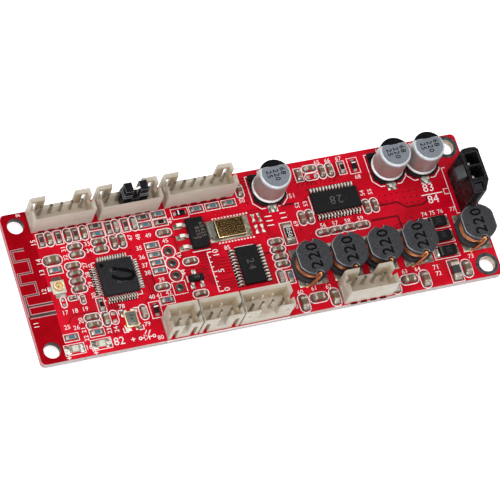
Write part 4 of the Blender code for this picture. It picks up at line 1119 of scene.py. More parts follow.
# %% One header housing
def header_housing(count):
    wall, floor, height, depth = 0.5, 1.7, 6.0, 4.5
    length = pin_pitch * (count - 1) + 3.9
    half, side = length / 2, depth / 2
    inner_back = side - 0.7
    housing = block(f"housing_{count}", (-half, -side, 0.1), (half, side, height))
    pick(housing, "FACE", lambda face: face.normal.z > 0.9)
    for inset, drop in ((wall, 0.95), (0.2, height - floor - 0.95)):
        bpy.ops.mesh.inset(thickness=inset * MM)
        bpy.ops.transform.translate(value=(0, 0, -drop * MM))
    leave_edit()
    opening = max(length - 6.1, 1.3)
    tools = [block("tool", (-opening / 2, inner_back - 0.3, floor), (opening / 2, side + 1, height + 1))]
    notch_low = height - 2.6
    tools.append(block("tool", (-half - 1, inner_back - 1.75, notch_low),
                       (half + 1, inner_back - 0.7, height + 1)))
    carve(housing, tools)
    holes = []
    for x in (-half + 1.1, half - 1.1):
        if count == 4:
            holes.append(block("tool", (x - 0.25, inner_back - 0.1, 3.2), (x + 0.25, side + 1, 3.75)))
        else:
            slot_top = 4.5 if count > 4 else 3.95
            holes.append(block("tool", (x - 0.42, inner_back - 0.1, -1), (x + 0.42, side + 1, slot_top)))
    for number in range(count):
        x = pin_pitch * (number - (count - 1) / 2)
        holes.append(block("tool", (x - 0.65, -side - 1, -1), (x + 0.65, -side + 0.4, 0.5)))
    carve(housing, holes)
    trims = [block("tool", (x - 0.14, -side + 1.0, 0.9), (x + 0.14, side - 1.2, 2.9)) for x in (-half, half)]
    carve(housing, trims)
    rim_z, post_y = place(0, 0, height).z, place(0, inner_back - 0.7).y
    ends = (place(-half, 0).x, place(half, 0).x)

    def post_corner(edge):
        centre = middle_of(edge)
        outermost = min(abs(centre.x - x) for x in ends) < CLOSE
        return along(edge, 1) and outermost and abs(centre.z - rim_z) < CLOSE and centre.y > post_y

    pick(housing, "EDGE", post_corner)
    bpy.ops.mesh.bevel(offset=0.4 * MM, segments=4)
    leave_edit()
    round_edges(housing, 0.06, 2, 0.7)
    # Rim faces get a painted highlight (1). Faces inside the pocket and on the notch ledges get painted
    # shade (2 and 3).
    for polygon in housing.data.polygons:
        centre = (polygon.center - place(0, 0)) / MM
        within = abs(centre.x) < half - 0.47 and abs(centre.y) < side - 0.47 and centre.z > floor - 0.1
        if centre.z > height - 0.1 and (polygon.normal.z > 0.5 or not within):
            polygon.material_index = 1
        elif within:
            upper = centre.z > height - 0.9 or (polygon.normal.z > 0.9 and centre.z < height - 1.2)
            polygon.material_index = 2 if upper else 3
        elif polygon.normal.z > 0.9 and abs(centre.z - notch_low) < 0.1:
            polygon.material_index = 3
    parts = [housing]
    for number in range(count):
        x = pin_pitch * (number - (count - 1) / 2)
        # The collars take the painted inside shade and the ribs take the painted rim highlight.
        collar = block("collar", (x - 0.42, 0.13, floor - 0.1), (x + 0.42, 0.97, floor + 0.12))
        round_edges(collar, 0.05, 1)
        parts.append(mark_faces(collar, 2, lambda centre, normal: True))
        if number:
            rib = block("rib", (x - 1.12, -side + 0.6, floor - 0.05), (x - 0.88, -side + 0.9, 3.3))
            round_edges(rib, 0.05)
            parts.append(mark_faces(rib, 1, lambda centre, normal: True))
    for piece in parts:
        paint(piece, cream_back, cream_rim_highlight, cream_inner_shade, cream_floor_shade)
    return smooth(join(parts, f"housing_{count}"))


pin_counts = sorted({count for count, _ in headers.values()})
housing_templates = {count: header_housing(count) for count in pin_counts}
foot_slot_shadows = []
for node, (count, plain_side) in headers.items():
    x, y = node_middle(node)
    turn = 0 if plain_side == "front" else 180
    tone = cream_back if plain_side == "front" and "back" in node else cream_front
    housing = copy_to(housing_templates[count], f"dressed_{node}", x, y, turn)
    belong(paint(housing, tone, cream_rim_highlight, cream_inner_shade, cream_floor_shade), "header_plastic", node)
    pins, cones = [], []
    for a, b in pin_places[node]:
        pins.append(copy_to(pin_template, "pin", a, b))
        cones.append(copy_to(cone_template, "cone", a, b))
        if plain_side == "front":
            foot_slot_shadows.append([(a - 0.65, y - 2.42), (a + 0.65, y - 2.42)])
    belong(join(pins, f"{node}_pins"), "tinned_metal", node)
    belong(join(cones, f"{node}_cones"), "tinned_metal")
    if "front" in node:
        open_routes.append([(x - count - 1.1, y - 2.53), (x + count + 1.1, y - 2.53)])
# Dark strips on the board at the feet's slots are painted shadow.
strips("foot_slot_shadows", foot_slot_shadows, 0.3, 0.012, dark_hole_and_shadow, "solder_mask")
discard(*housing_templates.values(), pin_template)
print("headers", len(headers), "with", sum(values[0] for values in headers.values()), "pins")

# %% [markdown]
# The jumper bridges two pins. It is a small black moulding: a wide foot, two narrow ledges drawn in
# above it, and two square towers. Between the towers shows the folded metal strip that makes the
# contact. It rides on its own body, because it pulls straight up off the pins.

# %% The jumper
jumper_low, jumper_high = node_box("jumper_cap")
jumper_x = (jumper_low.x + jumper_high.x) / 2
left, right = jumper_low.x, jumper_high.x
front, back = jumper_low.y, jumper_high.y
base_z, top_z = jumper_low.z, jumper_high.z
shoulder = 4.5
jumper = block("dressed_jumper", (left, front, base_z), (right, back, top_z))
tools = [block("tool", (jumper_x - 0.7, front - 1, shoulder), (jumper_x + 0.7, back + 1, top_z + 1))]
for side in (-1, 1):
    pin_x = jumper_x + side * 1.0
    tools.append(block("tool", (pin_x - 0.33, 28.0, base_z - 1), (pin_x + 0.33, 29.4, shoulder + 0.8)))
carve(jumper, tools)
for level, inset in ((top_z - 2.1, 0.13), (top_z - 1.6, 0.28)):
    sides = [block("tool", (left - 1, front - 1, level), (left + inset, back + 1, top_z + 1))]
    sides.append(block("tool", (right - inset, front - 1, level), (right + 1, back + 1, top_z + 1)))
    carve(jumper, sides)
    carve(jumper, [block("tool", (left - 1, front - 1, level), (right + 1, front + inset, top_z + 1))])
notch = block("tool", (jumper_x - 0.4, front - 1, base_z - 1),
              (jumper_x + 0.4, front + 0.25, shoulder - 0.4))
carve(jumper, [notch])
round_edges(jumper, 0.09, 3, 0.7)
# The bevel's narrow faces take the lighter black as a painted highlight.
mark_edges(jumper, 1, 0.05)
paint(smooth(jumper), glossy_black, black_edge_highlight)
peg = block("peg", (jumper_x - 0.3, front + 0.05, shoulder - 0.6),
            (jumper_x + 0.3, front + 0.75, shoulder + 0.25))
round_edges(peg, 0.24, 4)
paint(smooth(peg, 50), glossy_black)
belong(join([jumper, peg], "dressed_jumper"), "black_plastic", "jumper_cap", body="jumper")

contact_low, contact_high = node_box("jumper_contact")
strip_y, strip_z = (front + back) / 2 - 0.1, top_z - 0.5
contact = block("contact", (jumper_x - 1.05, strip_y - 0.22, strip_z),
                (jumper_x + 0.78, strip_y + 0.22, strip_z + 0.12))
pick(contact, "EDGE", lambda edge: along(edge, 0))
bpy.ops.mesh.subdivide(number_cuts=12)
leave_edit()
for point in contact.data.vertices:
    share = (point.co.x - place(jumper_x, 0).x) / (0.9 * MM)
    point.co.z += (0.42 * share * share + (0.2 * share if share < 0 else 0.0)) * MM
round_edges(contact, 0.03, 2, 1.0)
springs = [paint(smooth(contact, 50), contact_bright)]
for side, reach in ((-1, contact_high.z - 0.1), (1, strip_z - 0.35)):
    x = jumper_x + side * 0.5
    spring = block("spring", (x - 0.07, strip_y - 0.3, contact_low.z), (x + 0.07, strip_y + 0.2, reach))
    pick(spring, "FACE", lambda face: face.normal.z > 0.9)
    bpy.ops.transform.translate(value=(-side * 0.16 * MM, 0, 0))
    leave_edit()
    round_edges(spring, 0.05, 3)
    springs.append(paint(smooth(spring, 50), contact_bright))
belong(join(springs, "dressed_jumper_contact"), "tinned_metal", "jumper_contact", body="jumper")
print("jumper", [round(value, 2) for value in jumper_high - jumper_low])

# %% [markdown]
# The power connector is a tall black shroud with two square cells for its plug's contacts, a narrow
# pocket in front, a latch ramp on the side that faces the board, and one corner cut off. Its outline
# is extruded, and the openings are cut into it. The narrow faces of its bevel take a lighter black
# as a painted highlight.


# %% The power connector
def extruded_outline(name, points, low, high):
    clear_selection()
    bpy.ops.mesh.primitive_circle_add(vertices=len(points), radius=MM, fill_type="NGON",
                                      location=place(0, 0, low))
    piece = bpy.context.active_object
    piece.name = name
    apply_place(piece)
    for vertex, (x, y) in zip(piece.data.vertices, points):
        vertex.co = place(x, y, low)
    edit_whole(piece)
    bpy.ops.mesh.extrude_region_move(TRANSFORM_OT_translate={"value": (0, 0, (high - low) * MM)})
    leave_outward()
    return piece


power_low, power_high = node_box("power_connector")
left, right = power_x - 1.85, power_high.x
front, back = power_low.y, power_high.y
rim = power_high.z
outline = [(left, front), (right - 1.3, front), (right, front + 2.3), (right, back - 0.55),
           (right - 0.5, back)]
outline += [((left + right) / 2, back + 0.12), (left + 0.6, back), (left + 0.15, back - 0.25),
            (left, back - 0.6)]
power = extruded_outline("dressed_power_connector", outline, 0.1, rim)
tools = []
for x, y in power_pins:
    tools.append(block("tool", (left + 0.5, y - 1.3, rim - 6.4), (right - 0.5, y + 1.3, rim + 1)))
tools.append(block("tool", (left + 0.42, front + 0.42, rim - 1.1), (right - 1.4, front + 2.15, rim + 1)))
carve(power, tools)
grooves = [block("tool", (left - 1, y - 0.3, 0.6), (left + 0.12, y + 0.3, 2.6)) for _, y in power_pins]
grooves += [
    block("tool", (right - 0.12, y - 0.3, 0.6), (right + 1, y + 0.3, rim - 1.2)) for _, y in power_pins
]
carve(power, grooves)
round_edges(power, 0.12, 3, 0.7)
# The bevel's narrow faces take the lighter black as a painted highlight.
mark_edges(power, 1, 0.06)
pocket_floor = place(0, 0, rim - 1.1).z
mark_faces(power, 2, lambda centre, normal: normal.z > 0.9 and abs(centre.z - pocket_floor) < 0.1 * MM)
belong(paint(smooth(power), glossy_black, black_edge_highlight, latch_grey), "black_plastic", "power_connector")

latch_y = (front + back) / 2 + 0.6
latch = block("latch_ramp", (left - 1.55, latch_y - 1.3, rim - 3.1), (left + 0.3, latch_y + 1.3, rim - 0.7))
pull_edge(latch, 0, left - 1.55, rim - 0.7, 1.25)
round_edges(latch, 0.1, 3)
belong(paint(smooth(latch, 40), latch_grey), "black_plastic", "power_connector")

power_pin = paint(header_pin("power_pin", 0.8, -board_thickness - 1.3, rim - 2.4, 0.35), tin, tin)
pins = [copy_to(power_pin, "pin", x, y) for x, y in power_pins]
cones = [copy_to(cone_template, "cone", x, y) for x, y in power_pins]
belong(join(pins, "power_pins"), "tinned_metal", "power_connector")
belong(join(cones, "power_cones"), "tinned_metal")
discard(power_pin, cone_template)
print("power connector", [round(value, 2) for value in power_high - power_low])

# %% [markdown]
# A coil is copper wire on a ferrite drum. The drum has two round flanges with a flat on each side,
# and a rounded notch front and back where the wire ends come out. Their outline is worked out from
# those arcs, and the post between them is a plain cylinder. The wire is a real spiral in two layers,
# because its shine shows in every gap under the upper flange.


# %% The drum of a coil
def drum_outline(radius, flat, notch):
    """A circle with flats on the left and right and a round notch at the front and back."""
    steps, points = 60, []
    for step in range(steps):
        turn = 2 * math.pi * (step + 0.5) / steps
        x = max(-flat, min(flat, radius * math.cos(turn)))
        points.append((x, radius * math.sin(turn)))
    kept = [point for point in points if abs(point[0]) > notch * 0.98]
    route = []
    for index, point in enumerate(kept):
        route.append(point)
        following = kept[(index + 1) % len(kept)]
        if point[0] * following[0] < 0 and point[1] * following[1] > 0:
            if point[1] > 0:
                route += arc(0, radius, notch, 0, -180)
            else:
                route += arc(0, -radius, notch, 180, 0)
    return route


coil_radius, coil_flat, coil_notch = 3.7, 3.35, 0.68
coil_height, flange = 4.9, 1.1
outline = drum_outline(coil_radius, coil_flat, coil_notch)
upper = extruded_outline("upper_flange", outline, coil_height - flange, coil_height)
lower = extruded_outline("lower_flange", outline, 0.1, flange)
round_edges(upper, 0.17, 3, 0.9)
round_edges(lower, 0.12, 2, 0.9)
# Bevel faces on the left flat and near the front notch take lighter greys as painted highlights; the rest
# stay plain grey.
mark_edges(upper, 1, 0.1)
lit = place(0.45, -2.9)
mark_faces(upper, 0, lambda centre, normal: normal.x > -0.1 and (centre.x > lit.x or centre.y > lit.y))
post = round_bar("post", 0, 0, flange - 0.05, coil_height - flange + 0.05, 4.0, 32)
for polygon in upper.data.polygons:
    if polygon.material_index == 1 and polygon.normal.x > -0.5:
        polygon.material_index = 2
notches = [place(0, side * coil_radius) for side in (-1, 1)]


def notch_wall(centre, normal):
    from_notch = min((centre.xy - notch.xy).length for notch in notches)
    return abs(normal.z) < 0.3 and from_notch < 1.1 * coil_notch * MM


# The inside walls of both notches are painted near black as shade.
mark_faces(upper, 3, notch_wall)
drum_parts = [paint(upper, ferrite_grey, ferrite_edge_highlight, ferrite_soft_highlight, coil_mark_and_shade)]
drum_parts += [paint(lower, ferrite_grey), paint(post, ferrite_grey)]
drum = smooth(join(drum_parts, "drum_template"))
print("drum outline", len(outline), "points, drum", len(drum.data.polygons), "faces")

# %% The winding of a coil
wire, wire_end = 0.36, 0.46
turn_count = 7
bottom = flange + 0.25
spiral = []
for step in range(turn_count * 40 + 1):
    turn = math.radians(-90 + 9 * step)
    rise = bottom + (step / 40) * (coil_height - 2 * flange - 0.5) / turn_count
    spiral.append((2.86 * math.cos(turn), 2.86 * math.sin(turn), rise))
under = bars("under_layer", [[(x * 0.9, y * 0.9, z + 0.12) for x, y, z in spiral]], wire)
outer = bars("outer_layer", [spiral], wire)
rising = [(-2.3, -1.85, 2.55), (-1.5, -2.6, 2.8), (-0.8, -3.0, 3.2), (-0.25, -3.28, 3.95),
          (0.05, -3.36, 4.6)]
falling = [(0.26, -3.5, 4.72), (0.34, -3.68, 4.3), (0.05, -3.78, 3.3), (-0.5, -3.88, 2.2),
           (-1.05, -3.97, 1.1)]
falling += [(-1.4, -4.05, 0.35), (-1.75, -4.15, 0.14)]
ends = [bars("wire_end", [rising + falling], wire_end)]
beside = [(x + 0.35, y - 0.02, z - 0.3) for x, y, z in rising[1:]] + [(0.46, -3.5, 4.1), (0.36, -3.62, 2.9)]
beside += [(0.1, -3.66, 1.4), (-0.1, -3.75, 0.5)]
ends.append(bars("wire_beside", [beside], wire_end))
winding = paint(join([under, outer] + ends, "winding_template"), copper)
print("winding", len(winding.data.polygons), "faces")

# %% [markdown]
# Each coil's number is moulded into its top and filled darker, so the digits are thin and flush. They
# are plain numbers, as such coils carry for their value. The coil stands on two tinned pads, with
# solder risen against the drum.

# %% Place the coils
digits = [("220", 0.0, 0.1, 2.35, 90.0)]
digits_template = print_numbers("coil_digits", digits, coil_mark_and_shade, coil_height, 0.012, 1.15, 0.05)
for number in range(1, 6):
    x, y = node_middle(f"coil_core_{number}")
    belong(copy_to(drum, f"dressed_coil_core_{number}", x, y), "ferrite", f"coil_core_{number}")
    belong(copy_to(winding, f"dressed_coil_winding_{number}", x, y), "copper_wire", f"coil_winding_{number}")
    belong(copy_to(digits_template, f"coil_digits_{number}", x, y), "ferrite")
    feet = []
    for side, reach in ((-1, 2.35), (1, 2.2)):
        low_y, high_y = sorted((y + side * (3.95 - reach), y + side * 3.95))
        feet.append(bare_pad(x, (low_y + high_y) / 2, 5.9, high_y - low_y, 0.05, pad_metal))
    solder_low = block("solder", (x - 1.6, y - 3.85, 0.0), (x + 1.6, y - 3.3, 0.42))
    pull_edge(solder_low, 1, y - 3.85, 0.42, 0.34, 0.2)
    round_edges(solder_low, 0.08, 3)
    feet.append(paint(smooth(solder_low, 50), solder))
    belong(join(feet, f"coil_pads_{number}"), "tinned_metal")
discard(drum, winding, digits_template)
print("coils placed: 5")

# %% [markdown]
# A round capacitor is a drawn aluminium can on a black square base with two cut corners. The can's
# profile, with its rolled lip, its crimped groove and its rounded shoulder, is a line of points that
# is spun once round. The top keeps bare metal at its rim. Inside the rim is the grey print, with a
# black segment over the negative side.


# %% A spun profile
def spun(name, profile, steps):
    """A round piece from its profile, given as distance from the axis and height."""
    clear_selection()
    bpy.ops.mesh.primitive_plane_add(size=MM, location=place(0, 0))
    piece = bpy.context.active_object
    piece.name = name
    apply_place(piece)
    take(piece)
    bpy.ops.object.mode_set(mode="EDIT")
    shape = bmesh.from_edit_mesh(piece.data)
    bmesh.ops.delete(shape, geom=shape.verts[:], context="VERTS")
    points = [shape.verts.new(place(radius, 0, height)) for radius, height in profile]
    for first, second in zip(points, points[1:]):
        shape.edges.new((first, second))
    bmesh.update_edit_mesh(piece.data)
    bpy.ops.mesh.select_all(action="SELECT")
    bpy.ops.mesh.spin(steps=steps, angle=2 * math.pi, center=place(0, 0), axis=(0, 0, 1))
    bpy.ops.mesh.select_all(action="SELECT")
    bpy.ops.mesh.remove_doubles(threshold=0.002 * MM)
    leave_outward()
    return smooth(piece, 40)


can_radius, can_low, can_top = 3.15, 1.1, 7.4
profile = [(0, can_low + 0.1), (2.7, can_low + 0.1), (3.0, can_low - 0.05), (3.2, can_low),
           (3.29, can_low + 0.13)]
profile += [(3.26, can_low + 0.27), (3.12, can_low + 0.42), (2.98, can_low + 0.5), (2.96, can_low + 0.6)]
profile += [(can_radius - 0.1, can_low + 0.72), (can_radius - 0.03, can_low + 0.85),
            (can_radius, can_low + 1.1)]
profile += [(can_radius, can_top - 0.55), (can_radius - 0.05, can_top - 0.3),
            (can_radius - 0.16, can_top - 0.13)]
profile += [(can_radius - 0.36, can_top - 0.02), (can_radius - 0.5, can_top), (0, can_top)]
can = spun("can_template", profile, 96)
segment_line = place(0, 1.55).y
shoulder_z, lip_z, crimp_z, print_z = (
    place(0, 0, level).z for level in (can_top - 0.5, can_low + 0.48, can_low + 0.55, can_top - 0.4)
)
# The shoulder and the lip take the lighter copies of the aluminium as painted highlights.
mark_faces(can, 1, lambda centre, normal: centre.z > shoulder_z)
mark_faces(can, 2, lambda centre, normal: centre.z < lip_z)
# The crimped groove is painted dark dull metal as shade.
mark_faces(can, 4, lambda centre, normal: abs(centre.z - crimp_z) < 0.08 * MM)
mark_faces(can, 3, lambda centre, normal: centre.z > print_z and centre.y > segment_line)
paint(can, can_aluminium, can_rim_highlight, can_lip_highlight, can_print_black, dull_ring_and_groove_shade)


def disc_part(name, radius, cut_y, keep_above, height, surface):
    """The part of a thin disc on one side of a straight line."""
    piece = round_bar(name, 0, 0, can_top - 0.02, can_top + height, 2 * radius, 64)
    edit_whole(piece)
    cut = {"plane_co": place(0, cut_y), "plane_no": (0, 1, 0), "use_fill": True}
    bpy.ops.mesh.bisect(**cut, clear_inner=keep_above, clear_outer=not keep_above)
    leave_edit()
    return paint(smooth(piece, 30), surface)


grey_print = disc_part("grey_print", 2.74, 1.57, False, 0.012, can_print_grey)
black_print = disc_part("black_print", 2.86, 1.55, True, 0.014, can_print_black)
lines = [("68", 1.45, 0.3, 1.1, -90.0), ("220", 0.05, -0.3, 1.1, -90.0), ("25", -1.35, 0.0, 1.1, -90.0)]
can_digits = print_numbers("can_digits", lines, can_print_black, can_top + 0.012, 0.008, 1.1, 0.02)
print("can", len(can.data.polygons), "faces, digits", len(can_digits.data.polygons))

# %% The base of a capacitor
half = 3.3
outline = [(-half, half), (-half, -half + 1.3), (-half + 1.3, -half), (half - 1.3, -half),
           (half, -half + 1.3), (half, half)]
base = extruded_outline("base_template", outline, 0.2, 1.0)
seat = round_bar("tool", 0, 0, 0.85, 3, 6.1, 48)
carve(base, [seat])
round_edges(base, 0.08, 2, 0.7)
smooth(base)
corners = []
for side in (-1, 1):
    corner = block("corner", (side * 2.75 - 0.5, 2.25, 0.9), (side * 2.75 + 0.5, 3.25, 1.4))
    round_edges(corner, 0.12, 3)
    carve(corner, [round_bar("tool", 0, 0, 0.5, 3, 6.42, 64)])
    corners.append(smooth(corner, 40))
base = paint(join([base] + corners, "base_template"), glossy_black)
tab = block("tab", (-0.55, -4.15, 0.05), (0.55, -2.6, 0.3))
round_edges(tab, 0.05)
back_tab = block("tab", (-0.55, 2.6, 0.05), (0.55, 4.15, 0.3))
round_edges(back_tab, 0.05)
tabs = paint(smooth(join([tab, back_tab], "tab_template"), 40), tin)
base_print = [(1.3, -3.6), (2.2, -3.6), (3.6, -2.2), (3.6, 3.5), (1.3, 3.5)]
for number in range(1, 4):
    x, y = node_middle(f"capacitor_can_{number}")
    belong(copy_to(can, f"dressed_capacitor_can_{number}", x, y), "can_metal", f"capacitor_can_{number}")
    belong(copy_to(base, f"dressed_capacitor_base_{number}", x, y), "black_plastic",
           f"capacitor_base_{number}")
    belong(copy_to(tabs, f"capacitor_tabs_{number}", x, y), "tinned_metal", f"capacitor_base_{number}")
    belong(copy_to(grey_print, f"can_grey_print_{number}", x, y), "silkscreen")
    belong(copy_to(black_print, f"can_black_print_{number}", x, y), "silkscreen")
    belong(copy_to(can_digits, f"can_digits_{number}", x, y), "silkscreen")
    pads = [bare_pad(x, y - 3.9, 1.9, 1.6, 0.12, tin_painted_glints), bare_pad(x, y + 3.7, 1.7, 1.3, 0.12)]
    belong(join(pads, f"capacitor_pads_{number}"), "tinned_metal")
    open_routes += [[(x + side * a, y + b) for a, b in base_print] for side in (-1, 1)]
discard(can, base, tabs, grey_print, black_print, can_digits)
print("capacitors placed: 3")

# %% [markdown]
# A chip's moulded body slopes outwards to the line where its two mould halves meet, and back in
# again. The body is a cube with a loop of corners at that line: the top and bottom faces are scaled
# in. The leads are strips of tinned metal with two bends. One lead is its side outline with both
# bends, extruded to its width and stood upright, and it is copied along each side.


# %% Moulded bodies and bent leads
def moulded_body(name, width, length, low, high, draft, bevel=0.06):
    """A chip body, widest at its mould line and drawn in at its top and bottom."""
    middle = (low + high) / 2
    upper = block(name, (-width / 2, -length / 2, middle), (width / 2, length / 2, high))
    pick(upper, "FACE", lambda face: face.normal.z < -0.9)
    bpy.ops.mesh.extrude_region_move(TRANSFORM_OT_translate={"value": (0, 0, (low - middle) * MM)})
    leave_edit()
    for level in (low, high):
        height = place(0, 0, level).z
        pick(upper, "VERT", lambda point: abs(point.co.z - height) < CLOSE)
        scale = ((width - 2 * draft) / width, (length - 2 * draft) / length, 1)
        bpy.ops.transform.resize(value=scale, center_override=place(0, 0))
        leave_edit()
    round_edges(upper, bevel, 2, 0.3)
    return smooth(upper)


def bent_lead(name, width, start, reach, foot, height, thickness=0.15, surface=lead_tin):
    """A gull-wing lead that leaves the body at a height and lies flat on its pad."""
    stations = [start - 0.25, start + 0.12, start + 0.24, reach - foot - 0.05, reach - foot + 0.07, reach]
    tops = [height, height, height - 0.06, 0.06 + thickness + 0.05, 0.06 + thickness, 0.06 + thickness]
    outline = list(zip(stations, tops))
    under = [(x, z - thickness) for x, z in outline]
    under[1:4] = [(x - 0.11, z) for x, z in under[1:4]]
    outline += reversed(under)
    strip = extruded_outline(name, outline, 0, width)
    edit_whole(strip)
    bpy.ops.transform.rotate(value=math.radians(90), orient_axis="X", center_override=place(0, 0))
    leave_edit()
    low_z = min(point.co.z for point in strip.data.vertices)
    goal = place(0, 0, 0.06).z
    low_y = min(point.co.y for point in strip.data.vertices)
    high_y = max(point.co.y for point in strip.data.vertices)
    for point in strip.data.vertices:
        point.co.z += goal - low_z
        point.co.y -= (low_y + high_y) / 2 - place(0, 0).y
    round_edges(strip, 0.025, 1, 0.9)
    solder_foot = block("foot", (reach - foot - 0.1, -width / 2, -0.01), (reach + 0.2, width / 2, 0.13))
    pull_edge(solder_foot, 0, reach + 0.2, 0.13, 0.09)
    round_edges(solder_foot, 0.03)
    return smooth(join([paint(strip, surface), paint(solder_foot, tin)], name), 40)


def lead_row(lead, node, x, y, count, pitch, turns):
    """Leads along the sides that face the given turns."""
    copies = []
    for turn in turns:
        across = Vector((-math.sin(math.radians(turn)), math.cos(math.radians(turn))))
        for number in range(count):
            step = (number - (count - 1) / 2) * pitch
            copies.append(copy_to(lead, "lead", x + across.x * step, y + across.y * step, turn))
    return belong(join(copies, f"{node}_leads"), "tinned_metal", node)


def dimple(piece, x, y, top, diameter, depth=0.05):
    """A round mark sunk into a chip's top, beside its first lead."""
    return carve(piece, [round_bar("tool", x, y, top - depth, top + 1, diameter, 32)])


def dress_chip(node, x, y, body, marks):
    belong(copy_to(body, f"dressed_{node}", x, y), "chip_moulding", node)
    belong(copy_to(marks, f"{node}_marks", x, y), "chip_moulding")
    discard(body, marks)


quad_x, quad_y = node_middle("quad_chip")
body = moulded_body("quad_body", 7.0, 7.0, 0.2, 1.4, 0.12)
dimple(body, -2.6, 2.55, 1.4, 0.85, 0.09)
top = place(0, 0, 1.395).z
corner = place(-2.6, 2.55)
mark_faces(body, 1, lambda centre, normal: (centre.xy - corner.xy).length < 0.5 * MM and centre.z < top)
lines = [("0512", -0.35, 1.2, 0.75, 0), ("3046", 0.4, -1.2, 0.75, 0)]
marks = print_numbers("quad_marks", lines, chip_mark, 1.4, 0.006)
dress_chip("quad_chip", quad_x, quad_y, paint(body, chip_grey, coil_mark_and_shade), marks)
lead = bent_lead("quad_lead", 0.15, 3.5, 4.5, 0.5, 0.87, 0.1)
lead_row(lead, "quad_chip", quad_x, quad_y, 12, 0.5, (0, 90, 180, 270))
shaded_rows = []
for a, b in ((1, 0), (0, 1), (-1, 0), (0, -1)):
    row = [(a * 4.15 + side * b * 2.75, b * 4.15 + side * a * 2.75) for side in (-1, 1)]
    shaded_rows.append([(quad_x + x, quad_y + y) for x, y in row])
loop = [(-0.7, 1.5), (0.3, 1.25), (1.2, 0.95), (2.2, 0.55), (2.95, 0.05), (2.95, -0.55), (2.2, -1.0),
        (1.4, -1.05)]
loop += [(0.55, -0.95), (-0.3, -0.6), (-1.2, 0.1)]
loop = [(quad_x + a, quad_y + b) for a, b in loop]
strips("glossy_loop", [loop], 0.8, 0.012, coil_mark_and_shade, "chip_moulding", z=1.4)
discard(lead)
open_routes += corner_routes(quad_x, quad_y, 7.9, 7.9, 0.7)
outline_routes.append([(14.0, 17.9), (14.55, 17.9), (14.0, 17.35)])
print("square chip with 48 leads at", round(quad_x, 2), round(quad_y, 2))

# %% The two long chips
slim_chips = {
    "slim_chip_1": ((0, 180), 12, (4.4, 7.8), ("24", 0, 0, 1.5, -90.0), (-1.6, 3.3)),
    "slim_chip_2": ((90, 270), 14, (9.7, 4.4), ("28", 0, 0, 1.8, 180.0), (4.3, 1.6)),
}
slim_pitch = 0.65
for node, (turns, count, size, line, dot) in slim_chips.items():
    x, y = node_middle(node)
    body = paint(moulded_body("slim_body", *size, 0.2, 1.0, 0.1, 0.05), chip_black)
    dimple(body, *dot, 1.0, 0.6)
    dress_chip(node, x, y, body, print_numbers("slim_marks", [line], chip_mark, 1.0, 0.006, 1.2))
    lead = bent_lead("slim_lead", 0.18, 2.2, 3.2, 0.5, 0.66, 0.11)
    lead_row(lead, node, x, y, count, slim_pitch, turns)
    discard(lead)
    reach = slim_pitch / 2 * count
    for side in (-1, 1):
        if turns[0] == 0:
            shaded_rows.append([(x + side * 2.85, y - reach), (x + side * 2.85, y + reach)])
        else:
            shaded_rows.append([(x - reach, y + side * 2.85), (x + reach, y + side * 2.85)])
x, y = node_middle("slim_chip_2")
open_routes.append([(x - 4.95, y + 2.0), (x - 4.95, y - 2.0)])
x, y = node_middle("slim_chip_1")
open_routes.append([(x - 1.9, y + 4.2), (x + 1.9, y + 4.2)])
# The dark strips under the lead rows are painted shade.
strips("shaded_rows", shaded_rows, 1.3, 0.014, mask_painted_shade, "solder_mask")
print("long chips with 24 and 28 leads")

# %% The regulator, the transistor and the diodes
regulator_x, regulator_y = 36.05, node_middle("regulator")[1]
body = paint(moulded_body("regulator_body", 3.5, 6.3, 0.2, 1.6, 0.14, 0.08), chip_black)
lines = [("60425", 0.95, 0.3, 0.85, -90.0), ("8250", -0.05, -0.2, 0.85, -90.0),
         ("7", -1.0, -1.2, 0.85, -90.0)]
marks = print_numbers("regulator_marks", lines, regulator_mark, 1.6, 0.006, 1.1)
dress_chip("regulator", regulator_x, regulator_y, body, marks)
lead = bent_lead("regulator_lead", 0.65, 1.75, 3.5, 0.9, 1.0, 0.25)
wide = bent_lead("regulator_tab", 3.0, 1.75, 3.5, 0.9, 1.0, 0.25, lid_grey)
leads = [copy_to(lead, "lead", regulator_x, regulator_y + step, 180) for step in (-2.3, 0, 2.3)]
leads.append(copy_to(wide, "lead", regulator_x, regulator_y))
for step in (-2.3, 0, 2.3):
    leads.append(bare_pad(regulator_x - 3.1, regulator_y + step, 1.9, 1.05, 0.04, pad_metal))
belong(join(leads, "regulator_leads"), "tinned_metal", "regulator")
discard(lead, wide)
open_routes.append([(regulator_x - 1.7, regulator_y - 3.35), (regulator_x + 1.9, regulator_y - 3.35)])

transistor_x, transistor_y = 33.3, 11.0
body = paint(moulded_body("transistor_body", 2.9, 1.35, 0.15, 1.1, 0.08, 0.06), chip_black)
marks = print_numbers("transistor_marks", [("48", 0, 0, 0.85, 0)], chip_mark, 1.1, 0.006)
dress_chip("transistor", transistor_x, transistor_y, body, marks)
lead = bent_lead("transistor_lead", 0.42, 0.67, 1.3, 0.3, 0.65)
spots = ((-0.95, 270), (0.95, 270), (0.0, 90))
leads = [copy_to(lead, "lead", transistor_x + step, transistor_y, turn) for step, turn in spots]
for step, turn in spots:
    side = 1 if turn == 90 else -1
    leads.append(bare_pad(transistor_x + step, transistor_y + side * 1.45, 0.85, 1.0, 0.1))
belong(join(leads, "transistor_leads"), "tinned_metal", "transistor")
discard(lead)
for x in (transistor_x - 1.6, transistor_x + 1.6):
    open_routes.append([(x, transistor_y + 0.9), (x, transistor_y - 0.4)])

